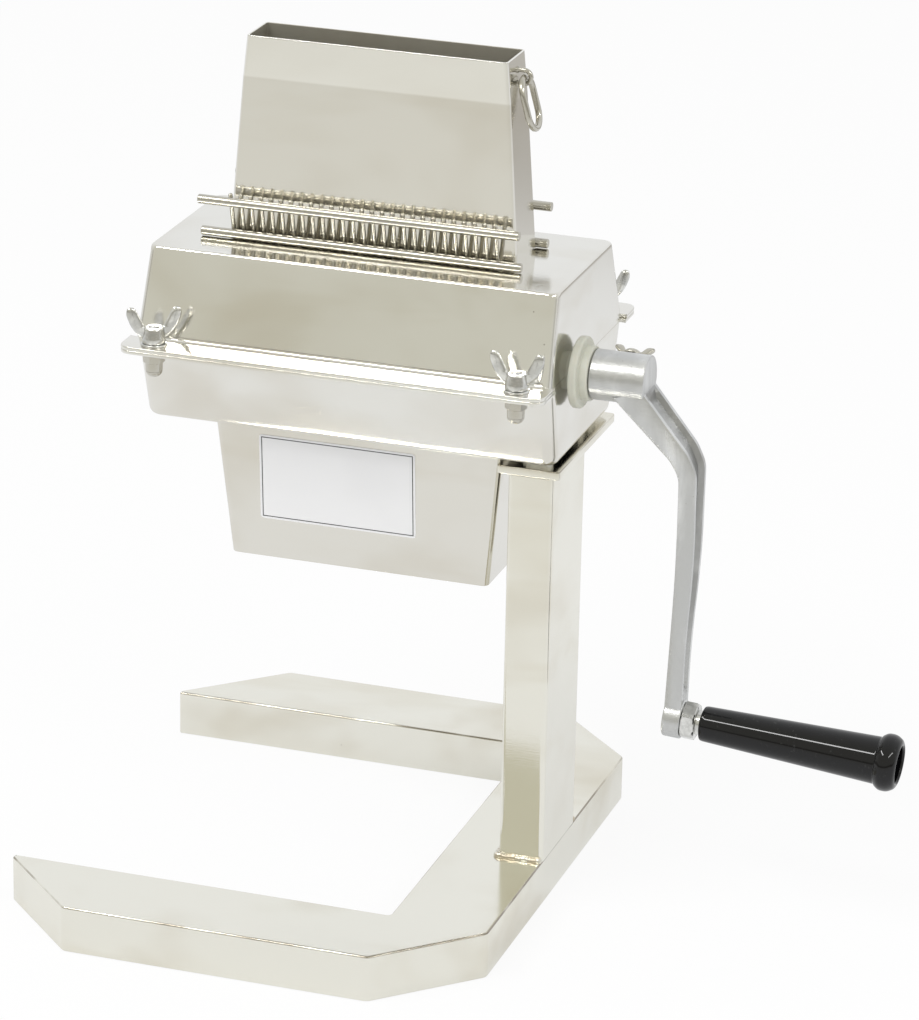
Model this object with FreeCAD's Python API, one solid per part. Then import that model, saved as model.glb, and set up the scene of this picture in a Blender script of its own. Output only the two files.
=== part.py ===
"""Hand-cranked meat tenderizer on a stand.

Frame: X to the right, along the rollers towards the crank; Y to the back; Z up. The origin is on the floor,
straight below the axis of the post. Millimetres.
"""
import FreeCAD, Part
import math
import os
from FreeCAD import Placement, Rotation, Vector

os.makedirs("parts", exist_ok=True)

# Clearances between pieces
RUN = 0.05                      # radial play of a shaft in its bore
PLAY = 0.3                      # gap between pieces that move past each other
SEAT = 0.02                     # gap between two faces that turn on each other

# Foot: a closed box folded from sheet, C-shaped in plan and open to the left
FOOT_LENGTH = 265.0             # along X
FOOT_DEPTH = 341.0              # along Y
FOOT_HEIGHT = 25.5
FOOT_LEG_WIDTH = 51.5           # front and back leg, along Y
FOOT_BAR_WIDTH = 54.0           # cross bar under the post, along X
FOOT_CHAMFER = 48.5             # outer corners
FOOT_SHEET = 2.0
FOOT_EDGE = 0.9                 # bevel of the upper edges

# Post: rectangular tube, flush with the foot's right side
POST_WIDTH = 24.5               # along X
POST_DEPTH = 58.0               # along Y
POST_WALL = 2.0
POST_CORNER = 2.5
POST_HEIGHT = 216.5
WELD_LEG = 4.0                  # fillet weld at the post's foot

# Saddle plate on the post, with the spacers that keep the housing clear of it
SADDLE_LEFT = 18.5              # reach left of the post's axis
SADDLE_RIGHT = 15.6             # reach right of the post's axis
SADDLE_DEPTH = 100.0            # its front edge is flush with the post's front
SADDLE_THICK = 4.5
SPACER_HEIGHT = 2.8
SPACER_D = 16.0
SADDLE_SCREW_D = 8.0
SADDLE_SCREW_PITCH = 18.0       # between the two screws, along Y
SADDLE_SCREW_END = 13.0         # rear screw to the plate's rear edge
SCREW_HEAD_FLATS = 13.0
SCREW_HEAD_HEIGHT = 5.3
HEX_NUT_HEIGHT = 6.5

# Housing: body below, cover above, bolted together at the height of the shafts
SADDLE_INSET = 12.0             # post's axis from the end of the housing's shortest length
HOUSING_SHEET = 1.5
BODY_HEIGHT = 46.0
BODY_TOP_LENGTH = 228.0
BODY_TOP_DEPTH = 127.0
BODY_BOTTOM_LENGTH = 226.4
BODY_BOTTOM_DEPTH = 100.0
BODY_EDGE = 2.6                 # bevel of the corners and lower edges
COVER_HEIGHT = 47.3
COVER_BOTTOM_LENGTH = 227.6
COVER_BOTTOM_DEPTH = 131.6
COVER_TOP_LENGTH = 224.0
COVER_TOP_DEPTH = 99.0
COVER_EDGE = 2.2                # bevel of the corners and upper edges
FLANGE_LENGTH = 236.0
FLANGE_OVERALL = 168.0          # front lip to back lip
FLANGE_THICK = 2.0
FLANGE_CORNER = 8.0

# Studs, washers, wing nuts and cap nuts of the flanges
STUD_D = 6.0
STUD_PITCH = 198.0              # along X
STUD_FROM_EDGE = 9.2            # stud axis to the flange's edge
WASHER_D = 14.0
WASHER_THICK = 1.2
WING_HUB_D = 12.4
WING_HUB_TOP_D = 10.4
WING_HUB_HEIGHT = 8.4
WING_SPAN = 29.6
WING_TOP = 19.5                 # wing tips above the washer
WING_THICK = 2.4
CAP_FLATS = 10.0
CAP_HEX_HEIGHT = 5.6
CAP_HEIGHT = 13.2
CAP_WALL = 1.6

# Feed chute on the cover
CHUTE_SHEET = 1.2
CHUTE_TOP_DRAW = 2.05           # end walls drawn in from crease to rim
CHUTE_TOP_DEPTH = 29.4
CHUTE_CREASE_DRAW = 6.2         # end walls drawn in from foot to crease
CHUTE_CREASE_DEPTH = 30.6
CHUTE_INSET = 32.5              # its foot from the ends of the housing's shortest length
CHUTE_BOTTOM_DEPTH = 34.2
CHUTE_HEIGHT = 108.5
CHUTE_RIM_BAND = 21.8           # rim to the crease
CHUTE_CORNER = 1.3              # bevel of the upright corners

# Discharge chute under the body
OUTLET_INSET = 32.0             # its end walls from the ends of the housing's shortest length
OUTLET_DRAW = 8.0               # end walls drawn in from top to bottom
OUTLET_TOP_DEPTH = 74.0
OUTLET_BOTTOM_DEPTH = 62.0
OUTLET_HEIGHT = 79.0

# Pull ring and its eye on the feed chute's right side
RING_WIRE = 3.6
RING_WIDTH = 20.0
RING_LENGTH = 31.0
RING_LEAN = 15.5                # degrees out from hanging straight
RING_BELOW_RIM = 10.5
EYE_WIRE = 2.6

# Combs: two bars and the wire tines between the blades
COMB_BAR_D = 5.0
COMB_LENGTH = 176.5
COMB_SHIFT = -4.3               # middle of the combs and rollers from the housing's middle
COMB_BAR_RISE = 18.6            # upper bar above lower bar
COMB_LEAN = 15.5                # degrees, tines above the cover
TINE_D = 2.4
TINE_COUNT = 27
TINE_CROWN = 1.4                # tine tops above the upper bar
TINE_BELOW_SHAFT = 32.0         # tine ends below the shafts' axes
COMB_SLOT_PLAY = 0.7

# Rollers
GEAR_MODULE = 3.0
GEAR_TEETH = 19
GEAR_WIDTH = 10.0
GEAR_HUB_D = 24.0
GEAR_ADDENDUM = 0.85            # of the module
GEAR_DEDENDUM = 1.2
GEAR_PRESSURE = 20.0
GEAR_BACKLASH = 0.35
ARBOR_FLATS = 11.0
SLEEVE_FLATS = 13.4             # its corners pass inside the tines
BLADE_COUNT = TINE_COUNT
BLADE_D = 59.0
BLADE_ROOT_D = 47.0
BLADE_TEETH = 8
BLADE_THICK = 1.2
PLATE_THICK = 10.0              # bearing plates at the rollers' ends
PLATE_INSET = 31.0              # plate's inner face from the end of the housing's shortest length
ROLLER_END = 5.4                # free length at each end of the row of blades
PLATE_CLEAR = 0.3               # arbor and end sleeves to the plates
PLATE_GAP = 1.0                 # plate to housing walls
SHAFT_STUB = 1.5                # shaft end past the left plate
PIN_D = 3.0

# Crank-side bushing
BUSH_NECK_D = 20.0
BUSH_INNER_D = 28.0
BUSH_INNER_THICK = 2.5
BUSH_INNER_GAP = 0.5            # nearest wall to the inner flange
BUSH_GAP = 3.2                  # wall to the large flange
BUSH_FLANGE_D = 37.8
BUSH_FLANGE_THICK = 4.6
BUSH_STEP_D = 29.0
BUSH_STEP_THICK = 4.6

# Crank
HUB_D = 26.4
HUB_LENGTH = 29.5
HUB_CAP = 4.5                   # closed outer end
HUB_GAP = 0.4                   # bushing to hub
CRANK_LENGTH = 185.0            # shaft axis to grip axis
ARM_OFFSET = 29.0               # hub's outer end to the arm's outer face
ARM_THICK = 9.0                 # along X, straight part
ARM_KNEE_DROP = 39.0            # shaft axis to the outer bend
ARM_KNEE_RISE = 5.5             # outer bend's start above the knee
ARM_KNEE_FALL = 8.0             # inner bend's end below the knee
ARM_WIDTH_TOP = 22.0            # along Y
ARM_WIDTH_LOW = 14.0
ARM_LOW_DRAW = 4.0              # arm's outer face drawn in at the boss
ARM_POCKET = 3.2                # recess in the outer face
ARM_RIM = 2.6
BOSS_D = 21.0
BOSS_THICK = 9.6
GRIP_DROOP = 3.85               # degrees
GRIP_NUT_FLATS = 18.5
GRIP_NUT_HEIGHT = 7.4
GRIP_COLLAR_D = 13.0
GRIP_COLLAR = 2.6
GRIP_BOLT_D = 8.0
GRIP_LENGTH = 107.0
GRIP_START_D = 18.8
GRIP_END_D = 24.8
GRIP_BULB_D = 30.4
GRIP_BULB_LENGTH = 15.0
GRIP_RECESS_D = 18.8
GRIP_RECESS_DEPTH = 11.0
GRIP_HEAD_D = 13.0
GRIP_HEAD_HEIGHT = 4.5
THUMB_D = 6.0
THUMB_TILT = 32.0               # degrees above the horizontal, to the back
THUMB_FLANGE_D = 11.0
THUMB_FLANGE = 3.0
THUMB_SPAN = 22.0
THUMB_WING = 12.5
THUMB_THICK = 2.6

# Places worked out from the sizes above
SADDLE_Z = FOOT_HEIGHT + POST_HEIGHT
BODY_Z = SADDLE_Z + SADDLE_THICK + SPACER_HEIGHT
SHAFT_Z = BODY_Z + BODY_HEIGHT
COVER_Z = SHAFT_Z + COVER_HEIGHT
RIM_Z = COVER_Z + CHUTE_HEIGHT
CREASE_Z = RIM_Z - CHUTE_RIM_BAND
ROOM = min(BODY_TOP_LENGTH, BODY_BOTTOM_LENGTH, COVER_TOP_LENGTH, COVER_BOTTOM_LENGTH) / 2
HOUSING_X = SADDLE_INSET - ROOM
PLATE_INNER = ROOM - PLATE_INSET
TINE_PITCH = 2 * (PLATE_INNER - ROLLER_END) / TINE_COUNT
OUTLET_TOP_LENGTH = 2 * (ROOM - OUTLET_INSET)
OUTLET_BOTTOM_LENGTH = OUTLET_TOP_LENGTH - 2 * OUTLET_DRAW
CHUTE_BOTTOM_LENGTH = 2 * (ROOM - CHUTE_INSET)
CHUTE_CREASE_LENGTH = CHUTE_BOTTOM_LENGTH - 2 * CHUTE_CREASE_DRAW
CHUTE_TOP_LENGTH = CHUTE_CREASE_LENGTH - 2 * CHUTE_TOP_DRAW
HOUSING_Y = (SADDLE_DEPTH - POST_DEPTH) / 2
SHAFT_SPACING = GEAR_MODULE * GEAR_TEETH
DRIVE_Y = HOUSING_Y - SHAFT_SPACING / 2
DRIVEN_Y = HOUSING_Y + SHAFT_SPACING / 2
ROLLER_X = HOUSING_X + COMB_SHIFT
JOURNAL_D = ARBOR_FLATS


def wall_halves(radius):
    """Half lengths of body and cover from radius below the shafts' axes to radius above them."""
    body = (BODY_BOTTOM_LENGTH - BODY_TOP_LENGTH) / 2 * radius / BODY_HEIGHT
    cover = (COVER_TOP_LENGTH - COVER_BOTTOM_LENGTH) / 2 * radius / COVER_HEIGHT
    middle = [BODY_TOP_LENGTH / 2, COVER_BOTTOM_LENGTH / 2]
    return middle + [BODY_TOP_LENGTH / 2 + body, COVER_BOTTOM_LENGTH / 2 + cover]


WALL_X = HOUSING_X + max(wall_halves(BUSH_FLANGE_D / 2))
BUSH_INSIDE_X = HOUSING_X + min(wall_halves(BUSH_INNER_D / 2)) - HOUSING_SHEET - BUSH_INNER_GAP
BUSH_END_X = WALL_X + BUSH_GAP + BUSH_FLANGE_THICK + BUSH_STEP_THICK
HUB_X = BUSH_END_X + HUB_GAP
ARM_OUT_X = HUB_X + HUB_LENGTH + ARM_OFFSET
CHUTE_FRONT_Y = HOUSING_Y - CHUTE_BOTTOM_DEPTH / 2
X_AXIS = Vector(1, 0, 0)
Y_AXIS = Vector(0, 1, 0)
Z_AXIS = Vector(0, 0, 1)


def save(node, *solids):
    """Write one node: a single solid, or a group of separate ones."""
    flat = [s for shape in solids for s in shape.Solids]
    shape = flat[0] if len(flat) == 1 else Part.makeCompound(flat)
    shape.exportStep("parts/%s.step" % node)


def box(x0, x1, y0, y1, z0, z1):
    return Part.makeBox(x1 - x0, y1 - y0, z1 - z0, Vector(x0, y0, z0))


def rod(diameter, start, end):
    """Round bar from one point to another."""
    along = end - start
    return Part.makeCylinder(diameter / 2, along.Length, start, along)


def sided(radius, start, end, sides, turn=0.5):
    """Straight bar with a regular many-sided section whose corners lie on a circle."""
    angles = [2 * math.pi * (k + turn) / sides for k in range(sides)]
    outline = polygon([Vector(radius * math.cos(a), radius * math.sin(a), 0) for a in angles])
    shape = Part.Face(outline).extrude(Vector(0, 0, (end - start).Length))
    shape.Placement = Placement(start, Rotation(Z_AXIS, end - start))
    return shape


def hole(diameter, start, end, sides=12):
    """Many-sided cutter whose flats touch a circle from outside."""
    return sided(diameter / 2 / math.cos(math.pi / sides), start, end, sides)


def ring(outer_d, inner_d, thick, start, along=Z_AXIS):
    end = start + along * thick
    return sided(outer_d / 2, start, end, 14).cut(hole(inner_d, start, end, 8))


def polygon(points):
    return Part.makePolygon(points + points[:1])


def prism(flats, length, start, along=Z_AXIS, turn=0.0):
    """Hexagonal prism, given by its width across flats."""
    return sided(flats / math.sqrt(3), start, start + along * length, 6, turn / 60)


def round_rect(length, depth, corner, z, x=HOUSING_X, y=HOUSING_Y):
    """Closed wire of a rectangle at height z, each corner rounded by three chords."""
    points = []
    for k, (sx, sy) in enumerate(((1, 1), (-1, 1), (-1, -1), (1, -1))):
        centre = Vector(x + sx * (length / 2 - corner), y + sy * (depth / 2 - corner), z)
        for q in range(4):
            a = math.radians(90 * k + 30 * q)
            points.append(centre + Vector(math.cos(a), math.sin(a), 0) * corner)
    return polygon(points)


def taper(bottom, top, bevel=0.0, flats=()):
    """Block from one rectangle (length, depth, z) up to another; uprights and edges at flats are bevelled."""
    a, b, low = bottom[0] / 2, bottom[1] / 2, bottom[2]
    c, d, high = top[0] / 2, top[1] / 2, top[2]
    block = Part.makeWedge(-a, low, -b, -d, -c, a, high, b, d, c)
    block.rotate(Vector(0, 0, 0), X_AXIS, 90)
    block.translate(Vector(HOUSING_X, HOUSING_Y, 0))
    if not bevel:
        return block

    def bent(edge):
        a, b = [v.Z for v in edge.Vertexes]
        return abs(a - b) > 0.01 or any(abs(a - z) < 0.01 for z in flats)
    return block.makeChamfer(bevel, edges_where(block, bent))


def turned(profile, start, along, sides):
    """Closed turned piece with flat facets; profile is (distance along, radius), from axis to axis."""
    steps = [2 * math.pi * (k + 0.5) / sides for k in range(sides + 1)]
    hoops = [[Vector(r * math.cos(a), r * math.sin(a), d) for a in steps] for d, r in profile]
    faces = []
    for low, high in zip(hoops, hoops[1:]):
        for hoop, other in ((low, high), (high, low)):
            if other[0].distanceToPoint(other[1]) < 1e-6:
                faces.append(Part.Face(polygon(hoop[:-1])))
                break
        else:
            faces += [Part.Face(polygon([low[k], low[k + 1], high[k + 1], high[k]])) for k in range(sides)]
    solid = Part.Solid(Part.Shell(faces)).removeSplitter()
    if solid.Volume < 0:
        solid.reverse()
    solid.Placement = Placement(start, Rotation(Z_AXIS, along))
    return solid


def bar_along(points, diameter, sides, closed=False):
    """Many-sided wire bent along points in the YZ plane, mitred at each one."""
    count = len(points)
    hoops = []
    for k, point in enumerate(points):
        before = points[k - 1] if closed or k else None
        after = points[(k + 1) % count] if closed or k + 1 < count else None
        into = (point - before).normalize() if before is not None else (after - point).normalize()
        out = (after - point).normalize() if after is not None else into
        way = (into + out).normalize()
        stretch = 1 / max(way.dot(into), 0.2)
        side = way.cross(X_AXIS)
        angles = [2 * math.pi * (q + 0.5) / sides for q in range(sides)]
        spokes = [X_AXIS * math.cos(a) + side * stretch * math.sin(a) for a in angles]
        hoops.append([point + spoke * (diameter / 2) for spoke in spokes])
    runs = list(zip(hoops, hoops[1:]))
    if closed:
        runs.append((hoops[-1], hoops[0]))
        faces = []
    else:
        faces = [Part.Face(polygon(hoops[0])), Part.Face(polygon(hoops[-1]))]
    for low, high in runs:
        for k in range(sides):
            faces.append(Part.Face(polygon([low[k], low[k - 1], high[k - 1], high[k]])))
    solid = Part.Solid(Part.Shell(faces))
    if solid.Volume < 0:
        solid.reverse()
    return solid


def edges_where(shape, test):
    return [e for e in shape.Edges if test(e)]


# Stand

def foot_outline(z):
    left = POST_WIDTH / 2 - FOOT_LENGTH
    right = POST_WIDTH / 2
    side = FOOT_DEPTH / 2
    inner = side - FOOT_LEG_WIDTH
    bar = right - FOOT_BAR_WIDTH
    half = [(bar, inner), (left, inner), (left, side - FOOT_CHAMFER), (left + FOOT_CHAMFER, side),
            (right - FOOT_CHAMFER, side), (right, side - FOOT_CHAMFER)]
    points = [(x, -y) for x, y in half] + half[::-1]
    return polygon([Vector(x, y, z) for x, y in points])


def base_foot():
    outer = Part.Face(foot_outline(0)).extrude(Vector(0, 0, FOOT_HEIGHT))
    upper = edges_where(outer, lambda e: min(v.Z for v in e.Vertexes) > FOOT_HEIGHT - 1)
    outer = outer.makeChamfer(FOOT_EDGE, upper)
    inner = foot_outline(FOOT_SHEET).makeOffset2D(-FOOT_SHEET, 2)
    return outer.cut(Part.Face(inner).extrude(Vector(0, 0, FOOT_HEIGHT - 2 * FOOT_SHEET)))


def post():
    outer = round_rect(POST_WIDTH, POST_DEPTH, POST_CORNER, FOOT_HEIGHT, 0, 0)
    inner = round_rect(POST_WIDTH - 2 * POST_WALL, POST_DEPTH - 2 * POST_WALL, POST_CORNER - POST_WALL,
                       FOOT_HEIGHT, 0, 0)
    up = Vector(0, 0, POST_HEIGHT)
    return Part.Face(outer).extrude(up).cut(Part.Face(inner).extrude(up))


def post_weld():
    """Concave fillet bead along the post's front, left and back."""
    def bead(length):
        corner = Vector(0, 0, 0)
        foot = Vector(0, -WELD_LEG, 0)
        top = Vector(0, 0, WELD_LEG)
        hollow = Part.Arc(foot, Vector(0, -WELD_LEG * 0.42, WELD_LEG * 0.42), top).toShape()
        wire = Part.Wire([Part.makeLine(corner, foot), hollow, Part.makeLine(top, corner)])
        return Part.Face(wire).extrude(Vector(length, 0, 0))
    half_x = POST_WIDTH / 2
    half_y = POST_DEPTH / 2
    front = bead(POST_WIDTH - 2 * POST_CORNER)
    front.Placement = Placement(Vector(POST_CORNER - half_x, -half_y, FOOT_HEIGHT), Rotation())
    back = bead(POST_WIDTH - 2 * POST_CORNER)
    back.Placement = Placement(Vector(half_x - POST_CORNER, half_y, FOOT_HEIGHT), Rotation(Z_AXIS, 180))
    left = bead(POST_DEPTH - 2 * POST_CORNER)
    left.Placement = Placement(Vector(-half_x, half_y - POST_CORNER, FOOT_HEIGHT), Rotation(Z_AXIS, -90))
    return [front, back, left]


SADDLE_FRONT_Y = -POST_DEPTH / 2
SCREW_REAR_Y = SADDLE_FRONT_Y + SADDLE_DEPTH - SADDLE_SCREW_END
SADDLE_SCREW_YS = (SCREW_REAR_Y - SADDLE_SCREW_PITCH, SCREW_REAR_Y)


def saddle_plate():
    plate = box(-SADDLE_LEFT, SADDLE_RIGHT, SADDLE_FRONT_Y, SADDLE_FRONT_Y + SADDLE_DEPTH,
                SADDLE_Z, SADDLE_Z + SADDLE_THICK)
    upright = edges_where(plate, lambda e: abs(e.Vertexes[0].Z - e.Vertexes[1].Z) > 1)
    plate = plate.makeChamfer(1.2, upright)
    for y in SADDLE_SCREW_YS:
        low = Vector(0, y, SADDLE_Z)
        plate = plate.cut(hole(SADDLE_SCREW_D + 2 * RUN, low, low + Z_AXIS * SADDLE_THICK))
    return plate


def saddle_spacers():
    z = SADDLE_Z + SADDLE_THICK
    front_y = SADDLE_FRONT_Y + SADDLE_SCREW_END
    bore = SADDLE_SCREW_D + 2 * RUN
    rings = [ring(SPACER_D, bore, SPACER_HEIGHT, Vector(0, y, z)) for y in SADDLE_SCREW_YS]
    pad = sided(SPACER_D / 2, Vector(0, front_y, z), Vector(0, front_y, z + SPACER_HEIGHT), 16)
    return rings + [pad]


def saddle_screws():
    """Hexagon screws from below, through plate, spacer and housing floor."""
    reach = SADDLE_THICK + SPACER_HEIGHT + HOUSING_SHEET + HEX_NUT_HEIGHT + 1.5
    solids = []
    for y in SADDLE_SCREW_YS:
        head = prism(SCREW_HEAD_FLATS, SCREW_HEAD_HEIGHT, Vector(0, y, SADDLE_Z - SCREW_HEAD_HEIGHT))
        shank = sided(SADDLE_SCREW_D / 2, Vector(0, y, SADDLE_Z), Vector(0, y, SADDLE_Z + reach), 12)
        solids.append(head.fuse(shank).removeSplitter())
    return solids


def saddle_nuts():
    solids = []
    for y in SADDLE_SCREW_YS:
        low = Vector(0, y, BODY_Z + HOUSING_SHEET)
        bore = hole(SADDLE_SCREW_D + 2 * RUN, low, low + Z_AXIS * HEX_NUT_HEIGHT)
        solids.append(prism(SCREW_HEAD_FLATS, HEX_NUT_HEIGHT, low).cut(bore))
    return solids


# Housing

STUD_Y = FLANGE_OVERALL / 2 - STUD_FROM_EDGE
STUD_PLACES = [(HOUSING_X + sx * STUD_PITCH / 2, HOUSING_Y + sy * STUD_Y) for sy in (-1, 1) for sx in (-1, 1)]


def flange_lips(z, wall_depth):
    """Front and back lip at height z, from inside the wall to the flange's edge."""
    plate = Part.Face(round_rect(FLANGE_LENGTH, FLANGE_OVERALL, FLANGE_CORNER, z)).extrude(
        Vector(0, 0, FLANGE_THICK))
    half = wall_depth / 2 - HOUSING_SHEET
    middle = box(HOUSING_X - FLANGE_LENGTH, HOUSING_X + FLANGE_LENGTH, HOUSING_Y - half, HOUSING_Y + half,
                 z - 1, z + FLANGE_THICK + 1)
    lips = plate.cut(middle)
    for x, y in STUD_PLACES:
        lips = lips.cut(hole(STUD_D + 2 * RUN, Vector(x, y, z), Vector(x, y, z + FLANGE_THICK)))
    return lips


def bush_notch():
    """The round opening that body and cover share for the crank-side bushing."""
    start = Vector(HOUSING_X, DRIVE_Y, SHAFT_Z)
    return hole(BUSH_NECK_D, start, start + X_AXIS * (WALL_X + BUSH_GAP - HOUSING_X), 24)


def lower_housing():
    wall = 2 * HOUSING_SHEET
    outer = taper((BODY_BOTTOM_LENGTH, BODY_BOTTOM_DEPTH, BODY_Z), (BODY_TOP_LENGTH, BODY_TOP_DEPTH, SHAFT_Z),
                  BODY_EDGE, (BODY_Z,))
    inner = taper((BODY_BOTTOM_LENGTH - wall, BODY_BOTTOM_DEPTH - wall, BODY_Z + HOUSING_SHEET),
                  (BODY_TOP_LENGTH - wall, BODY_TOP_DEPTH - wall, SHAFT_Z),
                  BODY_EDGE - HOUSING_SHEET * 0.6, (BODY_Z + HOUSING_SHEET,))
    shell = outer.cut(inner)
    throat = 2 * CHUTE_SHEET
    outlet = taper((OUTLET_TOP_LENGTH - throat, OUTLET_TOP_DEPTH - throat, BODY_Z),
                   (OUTLET_TOP_LENGTH - throat, OUTLET_TOP_DEPTH - throat, BODY_Z + HOUSING_SHEET))
    shell = shell.cut(outlet).cut(bush_notch())
    for y in SADDLE_SCREW_YS:
        low = Vector(0, y, BODY_Z)
        shell = shell.cut(hole(SADDLE_SCREW_D + 2 * RUN, low, low + Z_AXIS * HOUSING_SHEET))
    return shell.fuse(flange_lips(SHAFT_Z - FLANGE_THICK, BODY_TOP_DEPTH)).removeSplitter()


TINE_SLOT = TINE_D + 2 * COMB_SLOT_PLAY
TINE_OFFSET = HOUSING_Y - CHUTE_FRONT_Y + COMB_SLOT_PLAY + TINE_D / 2      # tine axis from the middle plane


def cover():
    wall = 2 * HOUSING_SHEET
    outer = taper((COVER_BOTTOM_LENGTH, COVER_BOTTOM_DEPTH, SHAFT_Z),
                  (COVER_TOP_LENGTH, COVER_TOP_DEPTH, COVER_Z), COVER_EDGE, (COVER_Z,))
    inner = taper((COVER_BOTTOM_LENGTH - wall, COVER_BOTTOM_DEPTH - wall, SHAFT_Z),
                  (COVER_TOP_LENGTH - wall, COVER_TOP_DEPTH - wall, COVER_Z - HOUSING_SHEET),
                  COVER_EDGE - HOUSING_SHEET * 0.6, (COVER_Z - HOUSING_SHEET,))
    shell = outer.cut(inner).cut(bush_notch())
    throat = 2 * CHUTE_SHEET
    inlet = taper((CHUTE_BOTTOM_LENGTH - throat, CHUTE_BOTTOM_DEPTH - throat, COVER_Z - HOUSING_SHEET),
                  (CHUTE_BOTTOM_LENGTH - throat, CHUTE_BOTTOM_DEPTH - throat, COVER_Z))
    shell = shell.cut(inlet)
    half = (TINE_COUNT + 1) * TINE_PITCH / 2
    for side in (-1, 1):
        y = HOUSING_Y + side * TINE_OFFSET
        shell = shell.cut(box(ROLLER_X - half, ROLLER_X + half, y - TINE_SLOT / 2, y + TINE_SLOT / 2,
                              COVER_Z - HOUSING_SHEET, COVER_Z))
    return shell.fuse(flange_lips(SHAFT_Z, COVER_BOTTOM_DEPTH)).removeSplitter()


def open_chute(bottom, top):
    """Sheet walls between two rectangles (length, depth, z), open at both ends."""
    wall = 2 * CHUTE_SHEET
    inside = [(length - wall, depth - wall, z) for length, depth, z in (bottom, top)]
    return taper(bottom, top, CHUTE_CORNER).cut(taper(*inside, CHUTE_CORNER - CHUTE_SHEET * 0.6))


CHUTE_BOTTOM = (CHUTE_BOTTOM_LENGTH, CHUTE_BOTTOM_DEPTH, COVER_Z)
CHUTE_CREASE = (CHUTE_CREASE_LENGTH, CHUTE_CREASE_DEPTH, CREASE_Z)
CHUTE_TOP = (CHUTE_TOP_LENGTH, CHUTE_TOP_DEPTH, RIM_Z)


def feed_chute():
    return open_chute(CHUTE_BOTTOM, CHUTE_CREASE).fuse(open_chute(CHUTE_CREASE, CHUTE_TOP))


def discharge_chute():
    return open_chute((OUTLET_BOTTOM_LENGTH, OUTLET_BOTTOM_DEPTH, BODY_Z - OUTLET_HEIGHT),
                      (OUTLET_TOP_LENGTH, OUTLET_TOP_DEPTH, BODY_Z))


# Fasteners of the flanges

def studs():
    """Four studs from the bottom of the cap nuts to their ends in the wing nuts."""
    low = SHAFT_Z - FLANGE_THICK - CAP_HEIGHT + 2 * CAP_WALL
    high = SHAFT_Z + FLANGE_THICK + WASHER_THICK + WING_HUB_HEIGHT + 0.9
    return [rod(STUD_D, Vector(x, y, low), Vector(x, y, high)) for x, y in STUD_PLACES]


def washers():
    z = SHAFT_Z + FLANGE_THICK
    return [ring(WASHER_D, STUD_D + 2 * RUN, WASHER_THICK, Vector(x, y, z)) for x, y in STUD_PLACES]


def cap_nuts():
    solids = []
    top = SHAFT_Z - FLANGE_THICK
    for x, y in STUD_PLACES:
        hexagon = prism(CAP_FLATS, CAP_HEX_HEIGHT, Vector(x, y, top - CAP_HEX_HEIGHT))
        r = CAP_FLATS / 2 - 0.4
        bottom = top - CAP_HEIGHT
        profile = [(bottom, 0), (bottom, r * 0.5), (bottom + 2.4, r * 0.95), (top - CAP_HEX_HEIGHT + 0.5, r),
                   (top - CAP_HEX_HEIGHT + 0.5, 0)]
        nut = hexagon.fuse(turned(profile, Vector(x, y, 0), Z_AXIS, 10))
        depth = CAP_HEIGHT - 2 * CAP_WALL
        bore = hole(STUD_D + 2 * RUN, Vector(x, y, top - depth), Vector(x, y, top), 8)
        solids.append(nut.cut(bore).removeSplitter())
    return solids


def wing_pair(span, root, low, high, thick):
    """Two flat wings in the XZ plane, from a hub of radius root out to half the span."""
    tip = span / 2
    wings = []
    for side in (-1, 1):
        points = [(root * 0.5, low), (root, low), (tip - 2.8, high * 0.42), (tip, high * 0.8),
                  (tip - 1.2, high - 0.8), (tip - 4.6, high), (root * 0.86, high * 0.42),
                  (root * 0.5, high * 0.4)]
        outline = polygon([Vector(side * x, -thick / 2, z) for x, z in points])
        wings.append(Part.Face(outline).extrude(Vector(0, thick, 0)))
    return wings


def wing_nut(x, y, turn):
    profile = [(0, 0), (0, WING_HUB_D / 2), (1.6, WING_HUB_D / 2), (WING_HUB_HEIGHT, WING_HUB_TOP_D / 2),
               (WING_HUB_HEIGHT, 0)]
    nut = turned(profile, Vector(0, 0, 0), Z_AXIS, 12)
    wings = wing_pair(WING_SPAN, WING_HUB_D / 2 - 0.4, 1.6, WING_TOP, WING_THICK)
    for wing in wings:
        nut = nut.fuse(wing)
    nut = nut.cut(hole(STUD_D + 2 * RUN, Vector(0, 0, 0), Vector(0, 0, WING_TOP))).removeSplitter()
    z = SHAFT_Z + FLANGE_THICK + WASHER_THICK + SEAT
    nut.Placement = Placement(Vector(x, y, z), Rotation(Z_AXIS, turn))
    return nut


# Pull ring

RING_TOP_X = HOUSING_X + CHUTE_TOP_LENGTH / 2 + RING_WIRE / 2 + 2.6
RING_TOP_Z = RIM_Z - RING_BELOW_RIM
EYE_INNER = RING_WIRE / 2 + 0.55


def chute_side_x(z):
    """Outer face of the feed chute's right side above the crease."""
    share = (RIM_Z - z) / CHUTE_RIM_BAND
    return HOUSING_X + (CHUTE_TOP_LENGTH + (CHUTE_CREASE_LENGTH - CHUTE_TOP_LENGTH) * share) / 2


def ring_eye():
    """Wire staple on the chute's side, round the top of the ring."""
    r = EYE_INNER + EYE_WIRE / 2
    wall_x = chute_side_x(RING_TOP_Z) - CHUTE_SHEET
    reach = RING_TOP_X - wall_x
    bend = [math.radians(90 - 30 * k) for k in range(7)]
    points = [Vector(0, -reach, r)] + [Vector(0, r * math.cos(a), r * math.sin(a)) for a in bend]
    points.append(Vector(0, -reach, -r))
    staple = bar_along(points, EYE_WIRE, 8)
    staple.rotate(Vector(0, 0, 0), Z_AXIS, -90)
    staple.translate(Vector(RING_TOP_X, HOUSING_Y, RING_TOP_Z))
    upper = taper(CHUTE_CREASE, CHUTE_TOP)
    return staple.cut(upper).removeSplitter()


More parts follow.
